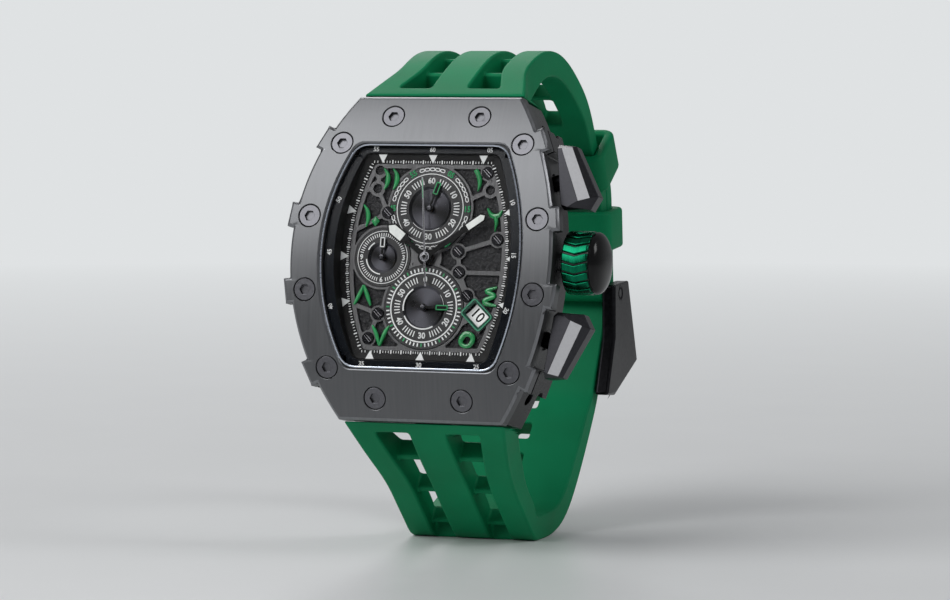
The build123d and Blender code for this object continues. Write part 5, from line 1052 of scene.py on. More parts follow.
rounded_copy("dial_plate", 0.06, plate_grey, segments=1)
paint(base_grain, "dial_base")
for name in COUNTERS:
    paint(counter_finish[name], f"counter_{name}")
rounded_copy("dial_screws", 0.04, screw_black, segments=1)
# The date disc glows a little, as painted light against the shade of its window.
paint(date_white, "date_disc")


# Hour marks: middle (across, up) and keys (across, up, width), as shares of the mark's height and stroke.
MARK_HEIGHT, MARK_STROKE, MARK_FRONT, MARK_BACK = 3.3, 0.74, 3.3, 3.6
CRESCENT = ((-0.1, 0.5, 0.2), (0.08, 0.25, 0.75), (0.13, 0.0, 1.0), (0.09, -0.25, 0.8), (-0.03, -0.5, 0.25))
HOUR_STROKES = (
    ((-7.57, 12.0), CRESCENT),
    ((-6.1, 12.0), CRESCENT),
    ((7.45, 11.9), (
        (-0.14, 0.5, 0.9), (0.0, 0.28, 0.95), (0.08, 0.02, 0.9), (0.09, -0.22, 0.7), (0.03, -0.5, 0.2),
    )),
    ((-10.4, 6.3), (
        (-0.12, 0.5, 0.3), (0.06, 0.25, 0.75), (0.12, 0.0, 0.9), (0.12, -0.25, 0.7), (0.06, -0.52, 0.25),
    )),
    ((10.5, 5.95), (
        (-0.36, 0.52, 0.4), (-0.18, 0.24, 0.85), (0.0, 0.16, 1.0), (0.2, 0.22, 0.85), (0.36, 0.44, 0.45),
    )),
    ((10.5, 5.95), ((0.0, 0.2, 0.9), (0.08, 0.0, 0.85), (0.1, -0.2, 0.7), (0.06, -0.55, 0.2))),
    ((10.65, -5.84), (
        (0.3, 0.46, 0.45), (-0.2, 0.27, 0.9), (0.2, 0.06, 0.8), (-0.24, -0.14, 0.95), (-0.2, -0.3, 0.95),
        (0.3, -0.4, 0.5),
    )),
    ((-6.75, -12.0), ((-0.4, 0.42, 0.4), (-0.2, 0.05, 0.8), (0.0, -0.5, 0.5))),
    ((-6.75, -12.0), ((0.42, 0.42, 0.4), (0.22, 0.1, 0.8), (0.0, -0.5, 0.5))),
    ((-9.95, -5.95), ((-0.42, -0.45, 0.4), (-0.2, 0.0, 0.8), (0.0, 0.45, 0.5))),
    ((-9.95, -5.95), ((0.4, -0.48, 0.4), (0.22, -0.05, 0.85), (0.0, 0.45, 0.5))),
)
ROUND_MARK, ROUND_MARK_RADIUS, ROUND_MARK_STEPS = (7.29, -12.46), 0.95, 24
DIAMOND, DIAMOND_HALF_HEIGHT, DIAMOND_HALF_WIDTH, DIAMOND_TIP = (-8.72, 5.43), 0.75, 0.62, 0.05


def curved_numerals():
    """Green applied hour marks: swelling brush-like strokes with rounded backs."""
    bm = bmesh.new()
    for (x, y), points in HOUR_STROKES:
        keys = [(x + u * MARK_HEIGHT, y + v * MARK_HEIGHT, w * MARK_STROKE / 2) for u, v, w in points]
        ribbon(bm, smooth_line(keys, 6), MARK_FRONT, MARK_BACK)
    x, y = ROUND_MARK
    ring = [
        (
            x + math.cos(a) * (ROUND_MARK_RADIUS + 0.12 * math.sin(2 * a)), y + math.sin(a) * ROUND_MARK_RADIUS,
            0.36 + 0.05 * math.sin(a),
        )
        for a in (2 * math.pi * k / ROUND_MARK_STEPS for k in range(ROUND_MARK_STEPS + 1))
    ]
    ribbon(bm, ring, MARK_FRONT, MARK_BACK)
    x, y = DIAMOND
    diamond = [
        (x, y + DIAMOND_HALF_HEIGHT * t, DIAMOND_HALF_WIDTH * (1 - abs(t)) + DIAMOND_TIP)
        for t in (-1, -0.5, 0, 0.5, 1)
    ]
    ribbon(bm, diamond, MARK_FRONT, MARK_BACK)
    return to_mesh(bm, "numerals")


def smooth_line(keys, share):
    """Points of a smooth line through keys, each with its own half width."""
    pts = np.array(keys, float)
    result = []
    for index in range(len(pts) - 1):
        before = pts[max(index - 1, 0)]
        first, second = pts[index], pts[index + 1]
        after = pts[min(index + 2, len(pts) - 1)]
        for step in range(share):
            t = step / share
            result.append(
                0.5 * (2 * first + (second - before) * t + (2 * before - 5 * first + 4 * second - after) * t**2
                       + (3 * first - before - 3 * second + after) * t**3)
            )
    result.append(pts[-1])
    return [tuple(p) for p in result]


# The section of a raised stroke: (share of its half width, height behind its front).
STROKE_SECTION = ((-1.0, 0.12), (-0.6, 0.02), (0.0, -0.01), (0.6, 0.02), (1.0, 0.12))


def ribbon(bm, line, front, back):
    """Raised stroke with a rounded top along a line of (x, y, half width)."""
    rows = []
    for index, (x, y, half) in enumerate(line):
        before, after = line[max(index - 1, 0)], line[min(index + 1, len(line) - 1)]
        run = Vector((after[0] - before[0], after[1] - before[1])).normalized()
        side = Vector((-run.y, run.x)) * half
        rows.append([
            bm.verts.new((x + side.x * u, y + side.y * u, -z))
            for u, z in ((-1.0, back), *((u, front + drop) for u, drop in STROKE_SECTION), (1.0, back))
        ])
    loft(bm, rows, caps=True)


numeral_piece = dial_piece(
    "hour_numerals_finished", curved_numerals(), "case", enamel_green, stands_for="hour_numerals",
    slot="green_enamel",
)
smooth(numeral_piece, 50.0)

PRINT_FRONT, PRINT_THICKNESS = 3.465, 0.04
HOUR_TICK_GAP = (0, 1, 14)

# Rings and arcs of each counter: inner and outer radius, start clockwise from 12, sweep.
COUNTER_RINGS = {
    "top": ((5.28, 5.4, 0.0, 360.0), (3.36, 3.42, 150.0, 80.0)),
    "bottom": (
        (5.2, 5.4, 0.0, 360.0), (3.2, 3.4, -100.0, 66.0), (3.2, 3.4, 150.0, 96.0), (3.2, 3.26, 52.0, 40.0),
    ),
    "left": ((3.98, 4.08, 0.0, 360.0), (2.52, 2.7, 185.0, 78.0), (2.52, 2.7, 295.0, 32.0)),
}

# Numbers of each counter: radius, height, and (text, angle clockwise from 12, turn of the figures).
COUNTER_NUMBERS = {
    name: (4.3, 0.98, (
        (first, 0.0, 0.0), ("10", 60.0, 60.0), ("20", 120.0, -60.0), ("30", 180.0, 0.0), ("40", 240.0, 60.0),
        ("50", 300.0, -60.0),
    ))
    for name, first in (("top", "60"), ("bottom", "0"))
}
COUNTER_NUMBERS["left"] = (3.42, 0.84, (("3", 90.0, 0.0), ("6", 180.0, 0.0), ("9", 270.0, 0.0)))
GREEN_NUMBERS = (
    6.1, 0.94,
    (("05", 30.0, 30.0), ("15", 90.0, 0.0), ("25", 150.0, -30.0), ("35", 210.0, 30.0), ("45", 270.0, 0.0),
     ("55", 330.0, -30.0)),
)


def round_place(spot, radius, angle):
    """Place at a radius and an angle clockwise from 12 about a spot."""
    a = math.radians(angle)
    return spot[0] + radius * math.sin(a), spot[1] + radius * math.cos(a)


def ring_numbers(bm, spot, radius, height, items):
    """Numbers printed round a spot."""
    placed = [(text, *round_place(spot, radius, angle), turn) for text, angle, turn in items]
    numbers(bm, placed, height, PRINT_FRONT, PRINT_THICKNESS)


def counter_print():
    """Rings, ticks, numbers and links printed on the three counters: a white mesh and a green one."""
    white, green = [], []

    def print_on(name, marks, layer):
        layer.append(moved(marks, COUNTERS[name][0], PRINT_FRONT))

    def around(radius, angles):
        return [(*round_place((0.0, 0.0), radius, angle), 0.0, -math.radians(angle)) for angle in angles]

    for name, (spot, _) in COUNTERS.items():
        bm = bmesh.new()
        for inner, outer, start, sweep in COUNTER_RINGS[name]:
            hoop(bm, spot, inner, outer, PRINT_FRONT, PRINT_THICKNESS, start, sweep)
        ring_numbers(bm, spot, *COUNTER_NUMBERS[name])
        white.append(to_mesh(bm, "ring"))
    ticks, teeth = bar_mark(0.15, 0.9, PRINT_THICKNESS), bar_mark(0.2, 0.52, PRINT_THICKNESS)
    for name in ("top", "bottom"):
        print_on(name, ring_marks(ticks, 60, 4.3, print_white, 10, 3, 7), white)
    print_on("bottom", ring_marks(teeth, 60, 5.78, print_white, 5, 1, 4), white)
    print_on("bottom", ring_marks(teeth, 60, 5.78, print_green, 5, 0, 0), green)
    links = around(6.05, [turn + link for turn in range(0, 360, 60) for link in (-16, -8, 0, 8, 16)])
    print_on("top", point_marks(link_mark(0.86, 0.56, 0.12, PRINT_THICKNESS), links, print_white), white)
    hours = around(3.45, [6 * tick for tick in range(60) if tick % 15 not in HOUR_TICK_GAP or not 2 < tick < 58])
    print_on("left", point_marks(bar_mark(0.12, 0.55, PRINT_THICKNESS), hours, print_white), white)
    bm = bmesh.new()
    ring_numbers(bm, COUNTERS["top"][0], *GREEN_NUMBERS)
    green.append(to_mesh(bm, "green_numbers"))
    return joined("white", white), joined("green", green)


white_print_mesh, green_print_mesh = counter_print()
dial_piece("counter_print_white", white_print_mesh, "case", print_white, slot="white_print")
dial_piece("counter_print_green", green_print_mesh, "case", print_green, slot="green_enamel")

DATE_SPOT, DATE_TURN = (8.6, -8.6), 43.5
date_mesh = bmesh.new()
numbers(date_mesh, [("10", *DATE_SPOT, DATE_TURN)], 1.7, 4.52, 0.03, 0.01)
dial_piece("date_number", to_mesh(date_mesh, "date"), "date_ring", hand_black, slot="hand_black")


def rounded_box(half_width, half_height, corner, steps=5):
    """Outline of a rectangle with round corners."""
    points = []
    for sx, sy, first in ((1, 1, 0), (-1, 1, 90), (-1, -1, 180), (1, -1, 270)):
        for step in range(steps + 1):
            angle = math.radians(first + 90 * step / steps)
            points.append((
                sx * (half_width - corner) + corner * math.cos(angle),
                sy * (half_height - corner) + corner * math.sin(angle),
            ))
    return points


# Rings of the date's frame: half width, half height, corner, depth, finish.
DATE_RINGS = (
    (2.2, 1.7, 0.5, 3.62, 0), (2.2, 1.7, 0.5, 3.42, 0), (2.12, 1.62, 0.46, 3.37, 1), (1.94, 1.44, 0.34, 3.37, 0),
    (1.62, 1.14, 0.16, 3.62, 0),
)


def turned_outline(outline, spot, turn):
    """Outline turned clockwise about its origin and set at a spot."""
    cos, sin = math.cos(-math.radians(turn)), math.sin(-math.radians(turn))
    return [(spot[0] + x * cos - y * sin, spot[1] + x * sin + y * cos) for x, y in outline]


def date_frame_mesh():
    """Raised frame of the date: a rounded outer wall, a bright rim and a slope down to the opening."""
    bm = bmesh.new()
    rows = [
        [
            bm.verts.new((x, y, -depth))
            for x, y in turned_outline(rounded_box(half_width, half_height, corner), DATE_SPOT, DATE_TURN)
        ]
        for half_width, half_height, corner, depth, _ in DATE_RINGS
    ]
    for index, face in enumerate(loft(bm, rows, closed=True)):
        face.material_index = DATE_RINGS[index // len(rows[0])][4]
    return to_mesh(bm, "date_frame")


dial_piece(
    "date_frame_finished", date_frame_mesh(), "case", frame_green, frame_rim, stands_for="date_frame",
    slot="green_enamel",
)

SCREW_SPOTS = (
    (-6.83, 6.79), (11.18, 2.91), (8.95, 13.1), (4.99, 1.03), (-7.38, -8.77), (-8.7, -12.55), (5.31, -2.16),
    (6.83, -5.73),
)
# Two thin grey bars across each dial screw: painted glints standing for the lit walls of its slot.
SLOT_GLINT_SHIFT, SLOT_GLINT_DEPTH, SLOT_TURN = 0.125, 3.34, math.radians(45.0)
edges = [
    (x + side * SLOT_GLINT_SHIFT, y + side * SLOT_GLINT_SHIFT, -SLOT_GLINT_DEPTH, SLOT_TURN)
    for x, y in SCREW_SPOTS for side in (1, -1)
]
edge_mesh = point_marks(bar_mark(0.07, 1.35, 0.03), edges, slot_edge)
dial_piece("dial_screw_edges", edge_mesh, "case", slot_edge, slot="screw_metal")


# ---------------------------------------------------------------- hands
HOUR_TURN, MINUTE_TURN, CHRONO_TURN = -53.0, 55.0, -5.5
LUME_POINT = 1.05


def lume_block(width, start, length):
    """Pointed block of lume on a hand."""
    half = width / 2
    shoulder = length - half * LUME_POINT
    return [(-half, start), (half, start), (half, shoulder), (0.0, length), (-half, shoulder)]


for name in ("hour_hand", "minute_hand", "counter_hand_top", "counter_hand_left", "counter_hand_bottom"):
    rounded_copy(name, 0.03, hand_black, segments=1)
rounded_copy("chrono_hand", 0.02, slot_edge, segments=1)


def hand_detail(name, body, outlines, spot, turn, front, finish, thickness):
    """Thin raised shapes on a hand that turns about a spot; the outlines point to 12."""
    bm = bmesh.new()
    for outline in outlines:
        slab(bm, turned_outline(outline, spot, turn), front, thickness)
    soften(dial_piece(name, to_mesh(bm, name), body, finish, slot="white_print"), 0.02, 1)


def frame_lines(half, low, high, line):
    """Four thin bars that outline a hand's tip."""
    return (
        bar(-half, low, -half + line, high), bar(half - line, low, half, high),
        bar(-half, high - line, half, high), bar(-half, low, half, low + line),
    )


for name, body, outlines, turn, front, finish, thickness in (
    ("hour_lume", "hour_arbor", [lume_block(1.44, 4.85, 7.85)], HOUR_TURN, 2.79, lume_white, 0.06),
    ("minute_lume", "minute_arbor", [lume_block(0.98, 7.95, 11.25)], MINUTE_TURN, 2.56, lume_white, 0.06),
    ("chrono_tip", "chrono_arbor", [((-0.07, 9.0), (0.07, 9.0), (0.05, 12.0), (-0.05, 12.0))], CHRONO_TURN, 2.35,
     print_green, 0.04),
    ("chrono_inlay", "chrono_arbor", [bar(-0.06, 0.8, 0.06, 8.9), bar(-0.06, -4.3, 0.06, -0.8)], CHRONO_TURN,
     2.35, hand_black, 0.04),
):
    hand_detail(name, body, outlines, (0.0, 0.0), turn, front, finish, thickness)

# Each counter's hand: its body, turn, start and end of the outlined tip, and the outline's finish.
COUNTER_HANDS = {
    "top": ("minute_counter", 19.0, 2.3, 4.25, print_green),
    "left": ("hour_counter", 0.0, 1.5, 3.05, print_white),
    "bottom": ("seconds_arbor", 90.0, 2.1, 4.05, print_green),
}

for name, (body, turn, low, high, finish) in COUNTER_HANDS.items():
    lines = frame_lines(0.4, low, high, 0.17)
    hand_detail(f"counter_hand_{name}_line", body, lines, COUNTERS[name][0], turn, 3.06, finish, 0.05)

# A hub's profile as shares of its radius and height.
HUB_PROFILE = ((0.0, 0.72), (0.18, 0.74), (0.3, 0.98), (0.62, 1.0), (0.9, 0.8), (1.0, 0.45), (1.0, 0.0))
HUB_STEPS = 28


def hub(name, body, spot, radius, front, height, finish):
    """Turned cap over an arbor: a short step and a domed top with a dimple."""
    bm = bmesh.new()
    rows = lathe(bm, [(radius * u, height * v - front) for u, v in HUB_PROFILE], HUB_STEPS, spot)
    loft(bm, rows)
    bm.faces.new(rows[-1])
    smooth(dial_piece(name, to_mesh(bm, name), body, finish, slot="movement_steel"), 40.0)


hub("chrono_hub", "chrono_arbor", (0.0, 0.0), 0.56, 2.37, 0.24, slot_edge)
hub("chrono_hub_eye", "chrono_arbor", (0.0, 0.0), 0.3, 2.16, 0.1, hand_black)
for name, (body, *_) in COUNTER_HANDS.items():
    hub(f"counter_{name}_hub", body, COUNTERS[name][0], 0.42, 3.1, 0.2, hub_dark)

# ---------------------------------------------------------------- movement
paint(plastic_ivory, "movement_holder")
paint(steel, "main_plate", "train_bridge", "movement_screws", "battery", "stator", "rotor")
paint(board_green, "circuit_board")
paint(copper_wire, "coil")
paint(brass, "reduction_wheel", "seconds_wheel", "minute_counter_wheel", "hour_counter_wheel", "chrono_wheel",
      "cannon_pinion", "minute_wheel", "hour_wheel")


# ---------------------------------------------------------------- strap lines in the side plane
def vec(y, z):
    """Vector in the side plane: backwards, upwards."""
    return np.array((y, z), float)


def unit(v):
    """Vector of length 1."""
    return v / np.linalg.norm(v)


def left_of(v):
    """Vector turned a quarter to its left."""
    return vec(-v[1], v[0])


def side_of(depth, up):
    """Side-plane place of a depth behind the bezel's front and a height on the dial."""
    return vec(depth * math.cos(LEAN) + up * math.sin(LEAN), up * math.cos(LEAN) - depth * math.sin(LEAN))


LOOP_DEPTH, DIAL_HEIGHT = 62.0, 46.3
STRAP_THICKNESS, SHORT_END, TAIL, TAIL_GAP = 3.9, 3.2, 2.8, 0.1
HALF_CASE, HALF_BACK = 13.0, 10.5
BEND = 6.0


def shared(shares, start=None, end=None):
    """Place by its shares of the loop's depth and the dial's height, or of the way from start to end."""
    if start is None:
        return vec(shares[0] * LOOP_DEPTH, shares[1] * DIAL_HEIGHT)
    return start + vec(shares[0], shares[1]) * (end - start)


RUN_TOP, RUN_CORNER, RUN_END = (shared(s) for s in ((0.881, 0.367), (0.977, 0.152), (0.9985, -0.199)))
UPPER_RUN, LOWER_RUN = unit(RUN_CORNER - RUN_TOP), unit(RUN_END - RUN_CORNER)
UPPER_OUT, LOWER_OUT = left_of(UPPER_RUN), left_of(LOWER_RUN)
BAR = RUN_END - LOWER_OUT * (SHORT_END / 2)
upper_start, upper_rim, upper_heel = side_of(6.3, 25.1), side_of(6.3, 25.6), side_of(15.0, 25.1)
lower_start, lower_heel = side_of(6.3, -25.1), side_of(15.0, -25.1)
foot_front, foot_rear = vec(25.5, -DIAL_HEIGHT), vec(29.5, -DIAL_HEIGHT)
UPPER_POINTS = [
    shared(s, upper_rim, RUN_TOP)
    for s in ((0.189, -0.5432), (0.3773, -0.9179), (0.6069, -0.8458), (0.7883, -0.3271), (0.9123, 0.2493))
]
LOWER_POINTS = [
    shared(s, lower_start, foot_front)
    for s in ((0.2949, 0.3304), (0.4857, 0.521), (0.6723, 0.7165), (0.8465, 0.8974))
]
BACK_POINTS = [
    shared(s) for s in ((0.624, -0.96), (0.729, -0.853), (0.806, -0.742), (0.873, -0.634), (0.91, -0.562))
]


def drawn_in(points, shares, side):
    """Points moved off a line to one side by shares of the strap's thickness."""
    result = []
    for index, point in enumerate(points):
        run = unit(points[min(index + 1, len(points) - 1)] - points[max(index - 1, 0)])
        result.append(point + left_of(run) * side * shares[index] * STRAP_THICKNESS)
    return result


def curve_through(points, first_run, last_run):
    """Smooth curve through points, its end directions set, read by a place from 0 to the last number."""
    pts = np.array(points, float)
    count = len(pts)
    steps = np.linalg.norm(np.diff(pts, axis=0), axis=1)
    matrix = np.zeros((count, count))
    right = np.zeros((count, 2))
    matrix[0, 0] = matrix[-1, -1] = 1.0
    right[0], right[-1] = unit(first_run), unit(last_run)
    for k in range(1, count - 1):
        matrix[k, k - 1], matrix[k, k], matrix[k, k + 1] = steps[k], 2 * (steps[k - 1] + steps[k]), steps[k - 1]
        right[k] = 3 * (
            steps[k] / steps[k - 1] * (pts[k] - pts[k - 1]) + steps[k - 1] / steps[k] * (pts[k + 1] - pts[k])
        )
    slopes = np.linalg.solve(matrix, right)

    def at(place):
        k = min(int(place), count - 2)
        t, h = place - k, steps[k]
        return (
            (2 * t**3 - 3 * t**2 + 1) * pts[k] + (t**3 - 2 * t**2 + t) * h * slopes[k]
            + (-2 * t**3 + 3 * t**2) * pts[k + 1] + (t**3 - t**2) * h * slopes[k + 1]
        )

    return at


class Pair:
    """Outer and inner line of a stretch of strap, read by the distance along the outer one."""

    def __init__(self, outer, inner, last):
        self.outer, self.inner = outer, inner
        self.places = np.linspace(0.0, last, 1200)
        spots = np.array([outer(p) for p in self.places])
        self.run = np.concatenate(([0.0], np.cumsum(np.linalg.norm(np.diff(spots, axis=0), axis=1))))
        self.length = float(self.run[-1])

    def at(self, distance):
        place = float(np.interp(distance, self.run, self.places))
        return self.outer(place), self.inner(place)


def bend_points(before, corner, after, radius, steps):
    """Arc that rounds a corner between two straight runs, with the unit normals away from its centre."""
    first, second = unit(corner - before), unit(after - corner)
    turn = math.acos(max(-1.0, min(1.0, float(first @ second))))
    cut = radius * math.tan(turn / 2)
    start = corner - first * cut
    sign = 1.0 if first[0] * second[1] - first[1] * second[0] > 0 else -1.0
    centre = start + left_of(first) * sign * radius
    arm = start - centre
    result = []
    for step in range(steps + 1):
        a = sign * turn * step / steps
        spun = vec(arm[0] * math.cos(a) - arm[1] * math.sin(a), arm[0] * math.sin(a) + arm[1] * math.cos(a))
        result.append((centre + spun, unit(spun)))
    return result


def mitred(before, corner, after, distance):
    """Corner of a bent line moved off it by a distance."""
    first, second = left_of(unit(corner - before)), left_of(unit(after - corner))
    return corner + (first + second) * (distance / (1 + float(first @ second)))


def distances(start, end, cuts, spacing):
    """Station distances from start to end through every cut, no further apart than the spacing."""
    marks = sorted({start, end, *[c for c in cuts if start < c < end]})
    result = [marks[0]]
    for low, high in zip(marks, marks[1:]):
        pieces = max(1, int(math.ceil((high - low) / spacing - 1e-6)))
        result += [low + (high - low) * (k + 1) / pieces for k in range(pieces)]
    return result


WINDOW_PITCH, WINDOW_BAR, WINDOW_INNER, SIDE_BAND, RECESS, WINDOW_START = 8.7, 1.1, 3.0, 4.1, 1.2, 1.9
SLOT_HALF, NUDGE = 1.55, 1e-4
HOLE_COUNT, HOLE_PITCH, HOLE_HALF = 3, 6.5, 1.6
WINDOW_SPACING, NOTCH_REACH, END_ANGLES = 1.45, 1.75, (25.0, 50.0, 72.0)
PRONG_ANGLES, PRONG_HALF, PRONG_REACH = (27.0, 43.0), 0.95, 10.4

# The free tail's end: share of its straight run, and how much narrower each side is there.
TAIL_END = ((0.35, 0.0), (0.6, 0.25), (0.8, 0.9), (0.93, 2.1), (1.0, 4.2))


COLUMNS, LEVELS, WINDOW_COLUMNS, HOLE_COLUMN = 7, 2, (1, 5), 3

# The walls of a cell: the way to its neighbour, and the wall's corners, counted in stations, columns, levels.
WALLS = (
    ((0, 0, -1), ((0, 0, 0), (0, 1, 0), (1, 1, 0), (1, 0, 0))),
    ((0, 0, 1), ((0, 0, 1), (1, 0, 1), (1, 1, 1), (0, 1, 1))),
    ((0, -1, 0), ((0, 0, 0), (1, 0, 0), (1, 0, 1), (0, 0, 1))),
    ((0, 1, 0), ((0, 1, 0), (0, 1, 1), (1, 1, 1), (1, 1, 0))),
    ((-1, 0, 0), ((0, 0, 0), (0, 0, 1), (0, 1, 1), (0, 1, 0))),
    ((1, 0, 0), ((1, 0, 0), (1, 1, 0), (1, 1, 1), (1, 0, 1))),
)


class Moulding:
    """Strap of stations along it, columns across it and three levels through it, its openings left out."""

    def __init__(self):
        self.rows = []

    def station(self, outer, inner, half, window="none", holes="none", half_inner=None):
        """Adds a station. window and holes say what lies between it and the next station."""
        self.rows.append({
            "outer": outer, "inner": inner, "half": half, "window": window, "holes": holes,
            "half_inner": half if half_inner is None else half_inner,
        })

    def build(self, name):
        """Mesh of the walls between the cells that are solid and those that are not."""
        bm = bmesh.new()
        grid = []
        for row in self.rows:
            depth = np.linalg.norm(row["inner"] - row["outer"])
            mid = row["outer"] + (row["inner"] - row["outer"]) * min(RECESS / max(depth, 1e-6), 0.5)
            levels = []
            for level, spot in enumerate((row["outer"], mid, row["inner"])):
                half = row["half_inner"] if level == 2 else row["half"]
                side = row["half"] - SIDE_BAND
                columns = (-half, -side, -WINDOW_INNER, -SLOT_HALF, SLOT_HALF, WINDOW_INNER, side, half)
                levels.append([bm.verts.new((spot[0], spot[1], x)) for x in columns])
            grid.append(levels)

        def solid(i, j, k):
            """Whether the cell at a station, column and level is filled."""
            if not (0 <= i < len(grid) - 1 and 0 <= j < COLUMNS and 0 <= k < LEVELS):
                return False
            row = self.rows[i]
            if j in WINDOW_COLUMNS and (row["window"] == "open" or row["window"] == "bar" and k == 0):
                return False
            return j != HOLE_COLUMN or row["holes"] != "open"

        for i, j, k in np.ndindex(len(grid) - 1, COLUMNS, LEVELS):
            if solid(i, j, k):
                for (di, dj, dk), corners in WALLS:
                    if not solid(i + di, j + dj, k + dk):
                        bm.faces.new([grid[i + a][k + c][j + b] for a, b, c in corners])
        loose = [v for v in bm.verts if not v.link_faces]
        bmesh.ops.delete(bm, geom=loose, context="VERTS")
        return to_mesh(bm, name)


def narrowed(share):
    """Half width at a share of a strap's first run, eased out so that no corner shows."""
    share = min(max(share, 0.0), 1.25)
    eased = share if share < 0.75 else 1.0 - (1.25 - share) ** 2
    return HALF_CASE + (HALF_BACK - HALF_CASE) * eased


def taper_plan(point_y):
    """Half width of the upper strap at a place behind the dial."""
    return narrowed((point_y - upper_rim[0]) / (UPPER_POINTS[0][0] - upper_rim[0]))


def taper_front(point_z):
    """Half width of the lower strap at a height below the dial."""
    return narrowed((point_z - lower_start[1]) / (LOWER_POINTS[1][1] - lower_start[1]))


def window_ends(length):
    """Start and end of every opening along a run of a length, the last one within it."""
    ends = []
    start = WINDOW_START
    while start + 2 * WINDOW_BAR < length and len(ends) < 5:
        stop = min(start + WINDOW_PITCH, length)
        ends.append((start + WINDOW_BAR / 2, stop - WINDOW_BAR / 2))
        start += WINDOW_PITCH
    return ends


def window_kind(distance, ends):
    """What lies at a distance along the strap: nothing, an opening or a bar between two."""
    if not ends[0][0] <= distance < ends[-1][1]:
        return "none"
    return "open" if any(low <= distance < high for low, high in ends) else "bar"


def upper_strap():
    """Short half of the strap, from the case over the top to the buckle's bar."""
    inner_points = drawn_in(UPPER_POINTS, (1.41, 1.13, 1.02, 0.98, 0.92), -1)
    outer = curve_through([upper_rim, *UPPER_POINTS, RUN_TOP], UPPER_POINTS[0] - upper_rim, UPPER_RUN)
    inner = curve_through(
        [upper_heel, *inner_points, RUN_TOP - UPPER_OUT * SHORT_END], inner_points[0] - upper_heel, UPPER_RUN
    )
    pair = Pair(outer, inner, len(UPPER_POINTS) + 1)
    m = Moulding()
    openings = window_ends(pair.length)
    m.station(upper_start, upper_heel, HALF_CASE)
    for distance in distances(0.0, pair.length, [end for ends in openings for end in ends], WINDOW_SPACING):
        out, inn = pair.at(distance)
        if distance < 1e-6:
            inn = pair.at(0.4)[1]
        kind = window_kind(distance + NUDGE, openings)
        m.station(out, inn, taper_plan(out[0]), kind, half_inner=taper_plan(inn[0]))
    arc = bend_points(RUN_TOP, RUN_CORNER, RUN_END, BEND, 6)
    straight = float(np.linalg.norm(arc[0][0] - RUN_TOP))
    for distance in distances(0.0, straight, [], 2.2)[1:-1]:
        spot = RUN_TOP + UPPER_RUN * distance
        m.station(spot, spot - UPPER_OUT * SHORT_END, HALF_BACK)
    for spot, normal in arc:
        m.station(spot, spot - normal * SHORT_END, HALF_BACK)
    notch = BAR - LOWER_RUN * NOTCH_REACH
    notch_place = float(np.linalg.norm((notch + LOWER_OUT * SHORT_END / 2) - arc[-1][0]))
    total = float(np.linalg.norm(RUN_END - arc[-1][0]))
    for distance in distances(0.0, total, [notch_place], 2.4)[1:]:
        spot = arc[-1][0] + LOWER_RUN * distance
        kind = "open" if distance > notch_place - 10 * NUDGE else "none"
        m.station(spot, spot - LOWER_OUT * SHORT_END, HALF_BACK, holes=kind)
    for angle in END_ANGLES:
        a = math.radians(angle)
        reach, rise = LOWER_RUN * math.sin(a) * SHORT_END / 2, LOWER_OUT * math.cos(a) * SHORT_END / 2
        m.station(BAR + reach + rise, BAR + reach - rise, HALF_BACK, holes="open")
    return m.build("strap_upper")


def in_slot(point):
    """Whether a side-plane point lies in the slot that the prong lifts through."""
    arm = point - BAR
    low_run, high_run = (vec(math.sin(a), -math.cos(a)) for a in map(math.radians, PRONG_ANGLES))
    low_side = float(left_of(low_run) @ arm) > -PRONG_HALF
    high_side = float(left_of(high_run) @ arm) < PRONG_HALF
    return low_side and high_side and 0.0 < float(low_run @ arm) < PRONG_REACH


